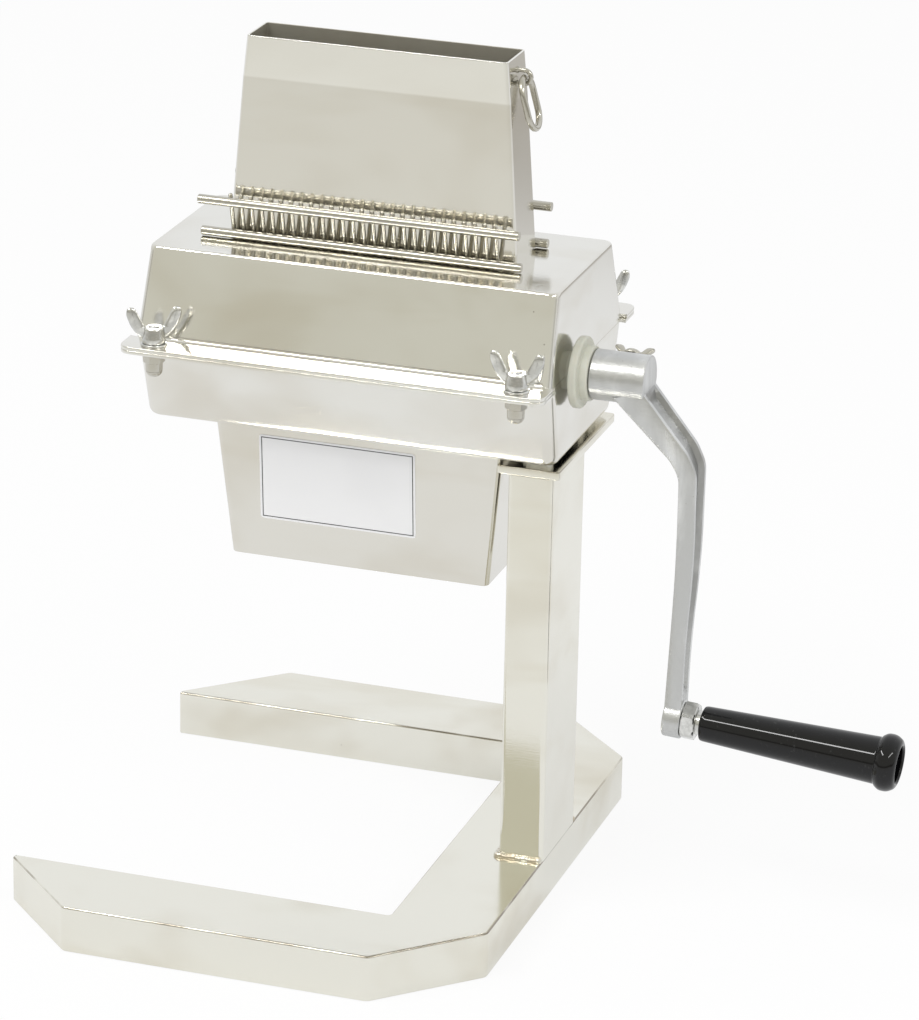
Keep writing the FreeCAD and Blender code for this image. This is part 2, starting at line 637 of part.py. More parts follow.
def pull_ring():
    """Oval link whose top lies on the hinge axis; it leans out from the wall."""
    r = (RING_WIDTH - RING_WIRE) / 2
    straight = RING_LENGTH - RING_WIDTH
    points = []
    for centre_z, first in ((-r, 0), (-r - straight, 180)):
        turns = [math.radians(first + 180 * k / 7) for k in range(8)]
        points += [Vector(0, r * math.cos(a), centre_z + r * math.sin(a)) for a in turns]
    half = 1.8                                  # half the straight stretch that turns in the eye
    link = bar_along(points, RING_WIRE, 8, True).fuse(rod(RING_WIRE, Vector(0, -half, 0), Vector(0, half, 0)))
    link.Placement = Placement(Vector(RING_TOP_X, HOUSING_Y, RING_TOP_Z), Rotation(Y_AXIS, -RING_LEAN))
    return link


# Combs

LOWER_BAR_Z = COVER_Z + COMB_BAR_D / 2 + PLAY
UPPER_BAR_Z = LOWER_BAR_Z + COMB_BAR_RISE
LEAN = math.tan(math.radians(COMB_LEAN))


def comb(side, shift):
    """Bars with the tines spot welded to them; side is -1 in front of the feed chute and 1 behind."""
    def place(x, out, z):
        return Vector(x, HOUSING_Y + side * out, z)
    bar_out = TINE_OFFSET + TINE_D / 2 + COMB_BAR_D / 2
    left = ROLLER_X - COMB_LENGTH / 2
    right = ROLLER_X + COMB_LENGTH / 2
    upper_out = bar_out + COMB_BAR_RISE * LEAN
    bars = [sided(COMB_BAR_D / 2, place(left, out, z), place(right, out, z), 12, 0)
            for out, z in ((bar_out, LOWER_BAR_Z), (upper_out, UPPER_BAR_Z))]
    crown_z = UPPER_BAR_Z + COMB_BAR_D / 2 + TINE_CROWN
    bend_z = LOWER_BAR_Z - COMB_BAR_D / 4
    tip_z = SHAFT_Z - TINE_BELOW_SHAFT
    crown_out = TINE_OFFSET + (crown_z - bend_z) * LEAN
    levels = [(TINE_OFFSET, tip_z), (TINE_OFFSET, bend_z), (crown_out, crown_z)]
    tines = []
    for k in range(TINE_COUNT):
        x = ROLLER_X + (k - (TINE_COUNT - 1) / 2) * TINE_PITCH + shift
        rings = []
        for out, z in levels:
            centre = place(x, out, z)
            spokes = [Vector(math.cos(a), math.sin(a), 0) for a in (math.pi * 0.4 * q for q in range(5))]
            rings.append(polygon([centre + spoke * (TINE_D / 2) for spoke in spokes]))
        tines.append(Part.makeLoft(rings, True, True))
    return bars + tines


# Rollers

def journal_shaft(y, left, right, pin_x):
    """Hexagonal arbor between the plates, turned round where it runs and carries its gear."""
    inner = PLATE_INNER - PLATE_CLEAR
    shaft = prism(ARBOR_FLATS, 2 * inner, Vector(HOUSING_X - inner, y, SHAFT_Z), X_AXIS)
    shaft = shaft.fuse(rod(JOURNAL_D, Vector(left, y, SHAFT_Z), Vector(HOUSING_X - inner, y, SHAFT_Z)))
    far = Vector(HOUSING_X + inner, y, SHAFT_Z)
    shaft = shaft.fuse(sided(JOURNAL_D / 2, far, Vector(right, y, SHAFT_Z), 20))
    return shaft.cut(cross_pin(y, pin_x)).removeSplitter()


GEAR_X = HOUSING_X + PLATE_INNER + PLATE_THICK + PLAY
GEAR_HUB_LENGTH = 3.0
PIN_X = GEAR_X + GEAR_HUB_LENGTH + GEAR_WIDTH / 2


def cross_pin(y, x):
    half = GEAR_HUB_D / 2
    return sided(PIN_D / 2, Vector(x, y, SHAFT_Z - half), Vector(x, y, SHAFT_Z + half), 8)


def gear_outline(start):
    """Involute teeth; each flank is one chord, so the teeth never bulge."""
    pitch_r = SHAFT_SPACING / 2
    base_r = pitch_r * math.cos(math.radians(GEAR_PRESSURE))
    tip_r = pitch_r + GEAR_ADDENDUM * GEAR_MODULE
    root_r = pitch_r - GEAR_DEDENDUM * GEAR_MODULE

    def spread(r):
        a = math.acos(base_r / r)
        return math.tan(a) - a
    half_pitch = math.pi / (2 * GEAR_TEETH) - GEAR_BACKLASH / (2 * pitch_r)
    radii = [base_r + (tip_r - base_r) * q for q in (0.02, 1.0)]
    flank = [(r, half_pitch + spread(pitch_r) - spread(r)) for r in radii]
    points = []
    for k in range(GEAR_TEETH):
        middle = start + 2 * math.pi * k / GEAR_TEETH
        rise = [(root_r, middle - flank[0][1])] + [(r, middle - a) for r, a in flank]
        fall = [(r, middle + a) for r, a in flank[::-1]] + [(root_r, middle + flank[0][1])]
        points += rise + fall
    return polygon([Vector(0, r * math.cos(a), r * math.sin(a)) for r, a in points])


def gear(y, start):
    """Spur gear with a short hub towards the bearing plate."""
    wheel = Part.Face(gear_outline(start)).extrude(Vector(GEAR_WIDTH, 0, 0))
    wheel.translate(Vector(GEAR_X + GEAR_HUB_LENGTH, y, SHAFT_Z))
    middle = Vector(GEAR_X, y, SHAFT_Z)
    hub = sided(GEAR_HUB_D / 2, middle, middle + X_AXIS * GEAR_HUB_LENGTH, 16)
    bore = hole(JOURNAL_D + 2 * RUN, middle, middle + X_AXIS * (GEAR_HUB_LENGTH + GEAR_WIDTH), 16)
    return wheel.fuse(hub).cut(bore).cut(cross_pin(y, PIN_X)).removeSplitter()


def blade_outline():
    """Star of raked points."""
    points = []
    for k in range(BLADE_TEETH):
        a = 2 * math.pi * k / BLADE_TEETH
        rake = 0.16 * 2 * math.pi / BLADE_TEETH
        points.append(Vector(0, BLADE_D / 2 * math.cos(a), BLADE_D / 2 * math.sin(a)))
        b = a + math.pi / BLADE_TEETH + rake
        points.append(Vector(0, BLADE_ROOT_D / 2 * math.cos(b), BLADE_ROOT_D / 2 * math.sin(b)))
    return polygon(points)


def blade_xs(shift):
    return [ROLLER_X + (k - (BLADE_COUNT - 1) / 2) * TINE_PITCH + shift - BLADE_THICK / 2
            for k in range(BLADE_COUNT)]


def blades(y, shift):
    disc = Part.Face(blade_outline()).extrude(Vector(BLADE_THICK, 0, 0))
    disc = disc.cut(prism(ARBOR_FLATS + 2 * RUN, BLADE_THICK, Vector(0, 0, 0), X_AXIS))
    solids = []
    for x in blade_xs(shift):
        blade = disc.copy()
        blade.translate(Vector(x, y, SHAFT_Z))
        solids.append(blade)
    return solids


def end_sleeves(y, shift):
    """Hexagonal sleeves that fill the arbor from the outer blades to the plates."""
    xs = blade_xs(shift)
    inner = PLATE_INNER - PLATE_CLEAR
    solids = []
    for a, b in ((HOUSING_X - inner, xs[0]), (xs[-1] + BLADE_THICK, HOUSING_X + inner)):
        start = Vector(a, y, SHAFT_Z)
        sleeve = prism(SLEEVE_FLATS, b - a, start, X_AXIS)
        solids.append(sleeve.cut(prism(ARBOR_FLATS + 2 * RUN, b - a, start, X_AXIS)))
    return solids


def bearing_plate(x):
    """Plate that carries both shafts; floor and cover hold it between them."""
    low = BODY_BOTTOM_DEPTH / 2 - BODY_EDGE - PLATE_GAP
    wide = BODY_TOP_DEPTH / 2 - HOUSING_SHEET - PLATE_GAP
    high = COVER_TOP_DEPTH / 2 - HOUSING_SHEET - COVER_EDGE - PLATE_GAP
    z0 = BODY_Z + HOUSING_SHEET
    z1 = COVER_Z - HOUSING_SHEET - PLAY
    step = 7.0
    heel = BODY_BOTTOM_DEPTH / 2 - HOUSING_SHEET - PLATE_GAP
    half = [(low, z0), (heel, z0 + step), (wide, SHAFT_Z - FLANGE_THICK), (wide, SHAFT_Z + FLANGE_THICK),
            (high, z1)]
    outline = [(-y, z) for y, z in half] + half[::-1]
    face = Part.Face(polygon([Vector(x, HOUSING_Y + y, z) for y, z in outline]))
    plate = face.extrude(Vector(PLATE_THICK, 0, 0))
    for y in (DRIVE_Y, DRIVEN_Y):
        near = Vector(x, y, SHAFT_Z)
        plate = plate.cut(hole(JOURNAL_D + 2 * RUN, near, near + X_AXIS * PLATE_THICK, 16))
    return plate


def crank_bushing():
    """Nylon bushing clamped in the housing's right wall, with its large outer flange."""
    inside = BUSH_INSIDE_X
    neck = BUSH_NECK_D / 2 - RUN
    outside = WALL_X + BUSH_GAP
    step = BUSH_END_X - BUSH_STEP_THICK
    large = BUSH_FLANGE_D / 2
    profile = [(inside - BUSH_INNER_THICK, 0), (inside - BUSH_INNER_THICK, BUSH_INNER_D / 2),
               (inside, BUSH_INNER_D / 2), (inside, neck), (outside, neck), (outside, large),
               (step - 0.8, large), (step, large - 0.8), (step, BUSH_STEP_D / 2),
               (BUSH_END_X, BUSH_STEP_D / 2), (BUSH_END_X, 0)]
    body = turned(profile, Vector(0, DRIVE_Y, SHAFT_Z), X_AXIS, 24)
    start = Vector(inside - BUSH_INNER_THICK, DRIVE_Y, SHAFT_Z)
    return body.cut(hole(JOURNAL_D + 2 * RUN, start, Vector(BUSH_END_X, DRIVE_Y, SHAFT_Z), 16))


# Crank

BOSS_Z = SHAFT_Z - CRANK_LENGTH
BOSS_OUT_X = ARM_OUT_X - ARM_LOW_DRAW
GRIP_WAY = Vector(math.cos(math.radians(GRIP_DROOP)), 0, -math.sin(math.radians(GRIP_DROOP)))
GRIP_ROOT = Vector(BOSS_OUT_X, DRIVE_Y, BOSS_Z)


def arm_side(drop, extra):
    """Plan of the arm seen from the end: half width along Y at a depth below the shaft."""
    share = min(max((drop - ARM_KNEE_DROP) / (CRANK_LENGTH - ARM_KNEE_DROP), 0), 1)
    return (ARM_WIDTH_TOP + (ARM_WIDTH_LOW - ARM_WIDTH_TOP) * share) / 2 - extra


def arm_outer(inset):
    """Outer edge of the arm, from the hub's end to the boss, moved in by inset."""
    hub_end = HUB_X + HUB_LENGTH
    knee_z = SHAFT_Z - ARM_KNEE_DROP
    return [(hub_end - inset, SHAFT_Z - HUB_D / 4), (ARM_OUT_X - 5.0 - inset, knee_z + ARM_KNEE_RISE),
            (ARM_OUT_X - inset, knee_z - 4.5), (ARM_OUT_X - inset, SHAFT_Z - CRANK_LENGTH * 0.52),
            (BOSS_OUT_X - inset, BOSS_Z + BOSS_D * 0.35)]


def arm_inner():
    knee_z = SHAFT_Z - ARM_KNEE_DROP
    return [(BOSS_OUT_X - BOSS_THICK, BOSS_Z + BOSS_D * 0.35),
            (ARM_OUT_X - ARM_THICK, SHAFT_Z - CRANK_LENGTH * 0.52),
            (ARM_OUT_X - ARM_THICK, knee_z - ARM_KNEE_FALL),
            (ARM_OUT_X - ARM_THICK - 5.6, knee_z - 0.5), (HUB_X + HUB_LENGTH * 0.3, SHAFT_Z - HUB_D * 0.3)]


def arm_slab(points, extra):
    """Arm outline in XZ, given its width along Y by the side plan."""
    outline = Part.Face(polygon([Vector(x, DRIVE_Y - ARM_WIDTH_TOP, z) for x, z in points]))
    slab = outline.extrude(Vector(0, 2 * ARM_WIDTH_TOP, 0))
    drops = (0, ARM_KNEE_DROP, CRANK_LENGTH)
    right = [(arm_side(d, extra), SHAFT_Z - d) for d in drops]
    plan = [(-y, z) for y, z in right] + right[::-1]
    side = Part.Face(polygon([Vector(HUB_X, DRIVE_Y + y, z) for y, z in plan]))
    return slab.common(side.extrude(Vector(2 * HUB_LENGTH + ARM_OFFSET, 0, 0)))


def crank_arm():
    """Casting: closed hub, bent arm with a recessed outer face, and the grip boss."""
    rim = 0.7
    profile = [(0, 0), (0, HUB_D / 2 - rim), (rim, HUB_D / 2), (HUB_LENGTH - rim, HUB_D / 2),
               (HUB_LENGTH, HUB_D / 2 - rim), (HUB_LENGTH, 0)]
    hub = turned(profile, Vector(HUB_X, DRIVE_Y, SHAFT_Z), X_AXIS, 20)
    arm = arm_slab(arm_outer(0) + arm_inner(), 0)
    outer = arm_outer(0)[1:]
    pocket = arm_slab([(x + 1, z) for x, z in outer] + arm_outer(ARM_POCKET)[1:][::-1], ARM_RIM)
    boss = sided(BOSS_D / 2, GRIP_ROOT - GRIP_WAY * BOSS_THICK, GRIP_ROOT, 20)
    arm = arm.cut(pocket)
    casting = hub.fuse(arm).fuse(boss)
    mouth = Vector(HUB_X, DRIVE_Y, SHAFT_Z)
    bore = hole(JOURNAL_D, mouth, mouth + X_AXIS * (HUB_LENGTH - HUB_CAP), 20)
    seat = rod(GRIP_BOLT_D, GRIP_ROOT - GRIP_WAY * (BOSS_THICK + 1), GRIP_ROOT + GRIP_WAY)
    tap = Part.makeCylinder(THUMB_D / 2 + RUN, HUB_D, THUMB_ROOT, THUMB_WAY)
    return casting.cut(bore).cut(seat).cut(tap).removeSplitter()


THUMB_WAY = Vector(0, math.cos(math.radians(THUMB_TILT)), math.sin(math.radians(THUMB_TILT)))
THUMB_ROOT = Vector(HUB_X + HUB_LENGTH * 0.55, DRIVE_Y, SHAFT_Z)


def thumb_screw():
    """Winged screw that clamps the hub on the shaft."""
    seat = HUB_D / 2 + PLAY
    r = THUMB_D / 2
    profile = [(JOURNAL_D / 2 + PLAY, 0), (JOURNAL_D / 2 + PLAY, r), (seat, r), (seat, THUMB_FLANGE_D / 2),
               (seat + THUMB_FLANGE, THUMB_FLANGE_D / 2 - 1), (seat + THUMB_FLANGE, 0)]
    screw = turned(profile, Vector(0, 0, 0), Z_AXIS, 16)
    for wing in wing_pair(THUMB_SPAN, THUMB_FLANGE_D / 2 - 1.4, 0.5, THUMB_WING, THUMB_THICK):
        wing.translate(Vector(0, 0, seat))
        screw = screw.fuse(wing)
    web = box(-2.6, 2.6, -THUMB_THICK / 2, THUMB_THICK / 2, seat, seat + THUMB_WING * 0.4)
    screw = screw.fuse(web).removeSplitter()
    screw.Placement = Placement(THUMB_ROOT, Rotation(Z_AXIS, THUMB_WAY))
    return screw


GRIP_START = GRIP_NUT_HEIGHT + GRIP_COLLAR + PLAY


def grip_bolt():
    """Bolt riveted in the boss; its head sits in the grip's end recess."""
    r = GRIP_BOLT_D / 2
    head = GRIP_START + GRIP_LENGTH - GRIP_RECESS_DEPTH + PLAY
    profile = [(-BOSS_THICK, 0), (-BOSS_THICK, r), (GRIP_NUT_HEIGHT, r), (GRIP_NUT_HEIGHT, GRIP_COLLAR_D / 2),
               (GRIP_NUT_HEIGHT + GRIP_COLLAR, GRIP_COLLAR_D / 2), (GRIP_NUT_HEIGHT + GRIP_COLLAR, r),
               (head, r), (head, GRIP_HEAD_D / 2), (head + GRIP_HEAD_HEIGHT, GRIP_HEAD_D / 2 - 1.0),
               (head + GRIP_HEAD_HEIGHT, 0)]
    return turned(profile, GRIP_ROOT, GRIP_WAY, 16)


def grip_nut():
    nut = prism(GRIP_NUT_FLATS, GRIP_NUT_HEIGHT, GRIP_ROOT, GRIP_WAY, 30)
    return nut.cut(hole(GRIP_BOLT_D, GRIP_ROOT, GRIP_ROOT + GRIP_WAY * GRIP_NUT_HEIGHT, 16))


def grip():
    """Tapered grip with a bulb end and the recess for the bolt's head."""
    a = GRIP_START
    b = GRIP_START + GRIP_LENGTH
    bore = GRIP_BOLT_D / 2 + RUN
    neck = b - GRIP_BULB_LENGTH
    profile = [(a, 0), (a, GRIP_START_D / 2), (neck - 3.0, GRIP_END_D / 2), (neck + 3.0, GRIP_BULB_D / 2),
               (b - 4.0, GRIP_BULB_D / 2), (b, GRIP_RECESS_D / 2 + 2.0), (b, GRIP_RECESS_D / 2),
               (b - GRIP_RECESS_DEPTH, GRIP_RECESS_D / 2), (b - GRIP_RECESS_DEPTH, 0)]
    body = turned(profile, GRIP_ROOT, GRIP_WAY, 20)
    return body.cut(hole(2 * bore, GRIP_ROOT, GRIP_ROOT + GRIP_WAY * b, 16))


save("base_foot", base_foot())
save("post", post())
save("post_weld", *post_weld())
save("saddle_plate", saddle_plate())
save("saddle_spacers", *saddle_spacers())
save("saddle_screws", *saddle_screws())
save("saddle_nuts", *saddle_nuts())
save("lower_housing", lower_housing())
save("discharge_chute", discharge_chute())
save("cover", cover())
save("feed_chute", feed_chute())
save("ring_eye", ring_eye())
save("pull_ring", pull_ring())
save("studs", *studs())
save("washers", *washers())
save("cap_nuts", *cap_nuts())
WING_TURNS = {"front_left": 28.0, "front_right": 2.0, "back_left": 75.0, "back_right": 15.0}
for (nut_x, nut_y), (corner, nut_turn) in zip(STUD_PLACES, WING_TURNS.items()):
    save("wing_nut_" + corner, wing_nut(nut_x, nut_y, nut_turn))

QUARTER = TINE_PITCH / 4
save("front_comb", *comb(-1, QUARTER))
save("rear_comb", *comb(1, -QUARTER))
save("bearing_plate_left", bearing_plate(HOUSING_X - PLATE_INNER - PLATE_THICK))
save("bearing_plate_right", bearing_plate(HOUSING_X + PLATE_INNER))
save("crank_bushing", crank_bushing())
SHAFT_LEFT = HOUSING_X - PLATE_INNER - PLATE_THICK - SHAFT_STUB
GEAR_END = GEAR_X + GEAR_HUB_LENGTH + GEAR_WIDTH + SHAFT_STUB
save("drive_shaft", journal_shaft(DRIVE_Y, SHAFT_LEFT, HUB_X + HUB_LENGTH - HUB_CAP, PIN_X))
save("driven_shaft", journal_shaft(DRIVEN_Y, SHAFT_LEFT, GEAR_END, PIN_X))
save("drive_blades", *blades(DRIVE_Y, -QUARTER))
save("driven_blades", *blades(DRIVEN_Y, QUARTER))
save("drive_spacers", *end_sleeves(DRIVE_Y, -QUARTER))
save("driven_spacers", *end_sleeves(DRIVEN_Y, QUARTER))
save("drive_gear", gear(DRIVE_Y, 0.0))
save("driven_gear", gear(DRIVEN_Y, math.pi + math.pi / GEAR_TEETH))
save("drive_gear_pin", cross_pin(DRIVE_Y, PIN_X))
save("driven_gear_pin", cross_pin(DRIVEN_Y, PIN_X))
save("crank_arm", crank_arm())
save("thumb_screw", thumb_screw())
save("grip_bolt", grip_bolt())
save("grip_nut", grip_nut())
save("grip", grip())
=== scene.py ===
"""Hand-cranked meat tenderizer on a C-shaped stand: its visible surfaces, finishes, floor, light and view.

X runs along the rollers towards the crank, Y to the back, Z up; the origin is on the floor under the post.
Blender works in metres. Shapes are worked out in millimetres and scaled once, where their mesh is made.
"""
import math
import bpy
import numpy as np
from bpy.props import FloatProperty, FloatVectorProperty, PointerProperty
from mathutils import Matrix, Vector
from mathutils.geometry import tessellate_polygon


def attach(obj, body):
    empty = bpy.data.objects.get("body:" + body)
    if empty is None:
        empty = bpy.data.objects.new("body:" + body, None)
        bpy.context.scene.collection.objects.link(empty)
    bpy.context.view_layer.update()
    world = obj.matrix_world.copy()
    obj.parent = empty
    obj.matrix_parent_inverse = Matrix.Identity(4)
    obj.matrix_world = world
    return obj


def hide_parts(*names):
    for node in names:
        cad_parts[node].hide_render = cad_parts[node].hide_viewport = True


bl_info = {
    "name": "Meat Tenderizer Maker",
    "version": (1, 0, 0),
    "blender": (4, 5, 0),
    "location": "View3D > Sidebar > Tenderizer",
    "description": "Builds a hand-cranked meat tenderizer: stand, housing, chutes, combs, crank and stage",
    "category": "Object",
}

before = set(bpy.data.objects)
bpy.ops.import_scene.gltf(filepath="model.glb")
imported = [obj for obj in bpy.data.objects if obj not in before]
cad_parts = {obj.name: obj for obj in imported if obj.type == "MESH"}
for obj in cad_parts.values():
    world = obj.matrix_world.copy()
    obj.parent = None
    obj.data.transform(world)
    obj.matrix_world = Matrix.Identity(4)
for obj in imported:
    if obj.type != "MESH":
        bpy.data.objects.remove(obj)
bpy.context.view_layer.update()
MM = 0.001
TURN = 2 * math.pi

# Middle of the housing and the axes that everything is placed from, in millimetres
HOUSE_X = -100.0
HOUSE_Y = 21.0
SHAFT_Z = 295.3
BODY_Z = 249.3
COVER_Z = 342.6
RIM_Z = 451.1
CREASE_Z = RIM_Z - 21.8
DRIVE_Y = HOUSE_Y - 28.5
HUB_X = 26.8
HUB_LENGTH = 29.5
ARM_OUT_X = HUB_X + HUB_LENGTH + 29.0
CRANK_LENGTH = 185.0
STUD_X = 99.0
STUD_Y = 74.8
ROLLER_X = HOUSE_X - 4.3
TINES = 27
TINE_PITCH = 5.6

# Outsides as (length, depth), and thicknesses
FOOT = (265.0, 341.0)
FOOT_HEIGHT = 25.5
POST = (24.5, 58.0)
SADDLE = (34.1, 100.0)
SADDLE_Z = 242.0
SADDLE_THICK = 4.5
BODY_BOTTOM = (226.4, 100.0)
BODY_TOP = (228.0, 127.0)
COVER_BOTTOM = (227.6, 131.6)
COVER_TOP = (224.0, 99.0)
SHEET = 1.5
LIPS = (232.4, 168.0)
FLANGE = 2.0
FEED_FOOT, FEED_CREASE, FEED_RIM = (159.0, 34.2), (146.6, 30.6), (142.5, 29.4)
OUTLET_TOP, OUTLET_MOUTH = (160.0, 74.0), (144.0, 62.0)
OUTLET_DROP = 79.0
CHUTE_SHEET = 1.2

# The photograph's view: degrees, metres, and pixels of its frame
AZIMUTH, ELEVATION, ROLL, SWING = 17.50, 20.63, 1.29, 0.35
DISTANCE = 2.5695
TARGET = (-0.04026, 0.0, 0.20625)
PICTURE = (919, 1020)
PICTURE_MIDDLE = (472.4, 513.9)
FOCAL_PIXELS = 4875.1


# Sizes and colours that a user would change

def length(name, text, value):
    return FloatProperty(name=name, description=text, default=value * MM, unit="LENGTH", precision=5)


def colour(name, text, value):
    return FloatVectorProperty(name=name, description=text, default=value, subtype="COLOR", size=3, min=0.0,
                               max=1.0)


def amount(name, text, value):
    return FloatProperty(name=name, description=text, default=value, min=0.0, max=1.0, subtype="FACTOR")


class SheetSizes(bpy.types.PropertyGroup):
    """Sizes of the folded sheet."""
    housing_roll: length("Housing roll", "Radius of the housing's rolled lower edges", 5.0)
    cover_roll: length("Cover roll", "Radius of the cover's rolled upper edges", 2.9)
    foot_roll: length("Foot roll", "Radius of the foot's upper edges", 1.1)
    chute_fold: length("Chute fold", "Radius of the chutes' upright corners", 2.2)
    lip_corner: length("Lip corner", "Radius of the flange lips' corners", 8.0)


class CrankSizes(bpy.types.PropertyGroup):
    """Sizes of the crank and its grip."""
    rim: length("Arm rim", "Width of the rims beside the arm's recess", 3.3)
    recess: length("Arm recess", "Depth of the recess in the arm's outer face", 3.2)
    bulb: length("Grip bulb", "Diameter of the bulb at the grip's end", 30.4)


class FinishColours(bpy.types.PropertyGroup):
    """Colours of the finishes."""
    sheet: colour("Sheet", "Polished sheet steel", (0.80, 0.79, 0.75))
    stand: colour("Stand", "Sheet steel of the stand", (0.835, 0.82, 0.745))
    wire: colour("Wire", "Bright steel wire and blades", (0.56, 0.54, 0.48))
    casting: colour("Casting", "Cast aluminium of the crank", (0.66, 0.665, 0.66))
    zinc: colour("Zinc", "Zinc plated fasteners", (0.74, 0.74, 0.72))
    nylon: colour("Nylon", "Turned white nylon", (0.62, 0.62, 0.53))
    grip: colour("Grip", "Black grip", (0.004, 0.004, 0.0045))
    plate: colour("Plate", "Bare type plate", (0.86, 0.86, 0.865))
    floor: colour("Floor", "Studio floor", (0.90, 0.90, 0.90))


class WearAmounts(bpy.types.PropertyGroup):
    """How much the finishes show use."""
    smudges: amount("Smudges", "Cloudy marks on polished sheet", 0.6)
    nicks: amount("Nicks", "Small dark nicks on the sheet", 0.5)


# Shader expressions

class Shade:
    """A socket that can be added, multiplied and compared in plain Python."""

    def __init__(self, maker, socket):
        self.maker = maker
        self.socket = socket

    def _math(self, operation, a, b):
        return self.maker.node("ShaderNodeMath", {"operation": operation}, {0: a, 1: b})

    def __add__(self, other):
        return self._math("ADD", self, other)

    __radd__ = __add__

    def __sub__(self, other):
        return self._math("SUBTRACT", self, other)

    def __rsub__(self, other):
        return self._math("SUBTRACT", other, self)

    def __mul__(self, other):
        return self._math("MULTIPLY", self, other)

    __rmul__ = __mul__

    def step(self, low, high):
        """0 below low, 1 above high, smooth between."""
        settings = {"interpolation_type": "SMOOTHSTEP", "clamp": True}
        return self.maker.node("ShaderNodeMapRange", settings, {0: self, 1: low, 2: high})


class Nodes:
    """Makes nodes in one tree and links expressions into them."""

    def __init__(self, tree):
        self.tree = tree

    def node(self, kind, settings, values, output=0):
        made = self.tree.nodes.new(kind)
        for key, value in settings.items():
            setattr(made, key, value)
        for key, value in values.items():
            if isinstance(value, Shade):
                self.tree.links.new(value.socket, made.inputs[key])
            else:
                made.inputs[key].default_value = value
        return Shade(self, made.outputs[output]) if output is not None else None

    def mix(self, factor, first, second):
        settings = {"data_type": "RGBA"}
        pad = [tuple(v) + (1.0,) if not isinstance(v, Shade) and len(v) == 3 else v for v in (first, second)]
        return self.node("ShaderNodeMix", settings, {0: factor, 6: pad[0], 7: pad[1]}, 2)

    def part(self, vector, axis):
        return self.node("ShaderNodeSeparateXYZ", {}, {0: vector}, axis)

    def seen(self):
        """1 for camera, mirror and clear rays, then 1 for camera rays alone."""
        rays = [self.node("ShaderNodeLightPath", {}, {}, name) for name in
                ("Is Camera Ray", "Is Glossy Ray", "Is Transmission Ray")]
        either = rays[0] + rays[1] + rays[2]
        return self.node("ShaderNodeMath", {"operation": "MINIMUM"}, {0: either, 1: 1.0}), rays[0]


class Finish(Nodes):
    """A material built from expressions; Object coordinates drive every pattern."""

    def __init__(self, name):
        self.material = bpy.data.materials.new(name)
        self.material.use_nodes = True
        super().__init__(self.material.node_tree)
        self.shader = self.tree.nodes["Principled BSDF"]
        self.place = self.node("ShaderNodeTexCoord", {}, {}, "Object")

    def stretched(self, scale):
        return self.node("ShaderNodeMapping", {}, {"Vector": self.place, "Scale": scale})

    def noise(self, scale, detail=2.0, roughness=0.5, place=None, distortion=0.0):
        values = {"Vector": place or self.place, "Scale": scale, "Detail": detail, "Roughness": roughness,
                  "Distortion": distortion}
        return self.node("ShaderNodeTexNoise", {}, values, "Fac")

    def cells(self, scale):
        return self.node("ShaderNodeTexVoronoi", {}, {"Vector": self.place, "Scale": scale}, "Distance")

    def bump(self, height, strength, distance, normal=None):
        values = {"Height": height, "Strength": strength, "Distance": distance}
        if normal is not None:
            values["Normal"] = normal
        return self.node("ShaderNodeBump", {}, values, "Normal")

    def set(self, **values):
        names = {"color": "Base Color", "rough": "Roughness", "metal": "Metallic", "normal": "Normal"}
        for key, value in values.items():
            socket = self.shader.inputs[names[key]]
            if isinstance(value, Shade):
                self.tree.links.new(value.socket, socket)
            elif key == "color":
                socket.default_value = tuple(value) + (1.0,)
            else:
                socket.default_value = value
        return self.material


def tint(base, *factors):
    """A colour scaled by one factor, or by one for each channel."""
    return tuple(min(1.0, c * f) for c, f in zip(base, factors if len(factors) > 1 else factors * 3))


def sheet_finish(name, base, rough, waves, brush, painted_reflection_band=None, smudges_and_edge_shade=1.0):
    """Polished sheet: brownish clouds, drawn-out streaks, faint brushing, slow waves and small dark nicks.
    Where a height is given, painted reflection makes the sheet brighter above it and browner below it;
    a factor above 1 strengthens the smudges and adds painted shade, a broken dark line on the rolled edges."""
    wear = bpy.context.scene.tender_wear
    f = Finish(name)
    clouds = f.noise(9.0, 3.0, 0.5, f.stretched((1.0, 1.0, 1.5)), 0.3).step(0.47, 0.72)
    streaks = f.noise(16.0, 3.0, 0.55, f.stretched((0.35, 1.0, 1.6)), 0.4).step(0.50, 0.72)
    grain = f.noise(60.0, 3.0, 0.6, f.stretched(brush))
    specks = f.cells(70.0).step(0.035, 0.02) * f.noise(16.0).step(0.58, 0.66)
    nicks = specks * wear.nicks
    brown = tint(base, 0.74, 0.69, 0.60)
    cloudy = f.mix(clouds * (0.75 * wear.smudges * smudges_and_edge_shade), base, brown)
    shade_now = f.mix(streaks * (0.55 * wear.smudges), cloudy, tint(base, 0.84, 0.80, 0.72))
    # Painted reflection: brighter above the given height, browner below it.
    if painted_reflection_band:
        height = f.part(f.place, "Z")
        shade_now = f.mix(height.step(painted_reflection_band - 0.0008, painted_reflection_band + 0.0008), f.mix(0.2, shade_now, brown),
                          f.mix(0.6, shade_now, tint(base, 1.16)))
    # Painted shade: a broken dark brown line on the rolled edges, which are picked by their slope.
    if smudges_and_edge_shade > 1.0:
        upward = f.part(f.node("ShaderNodeTexCoord", {}, {}, "Normal"), "Z")
        rolled = upward.step(0.2, 0.4) * upward.step(0.985, 0.9) * f.noise(24.0, 3.0, 0.6).step(0.36, 0.6)
        shade_now = f.mix(rolled * 0.8, shade_now, tint(base, 0.28, 0.24, 0.2))
    shade_now = f.mix(nicks, shade_now, (0.12, 0.10, 0.08))
    roughness = clouds * 0.05 + streaks * 0.03 + grain * 0.04 + nicks * 0.3 + rough
    slow = f.noise(5.0, 1.0, 0.4)
    normal = f.bump(slow, 0.35, waves)
    normal = f.bump(grain, 0.05, 0.0004, normal)
    return f.set(color=shade_now, rough=roughness, metal=1.0, normal=normal)


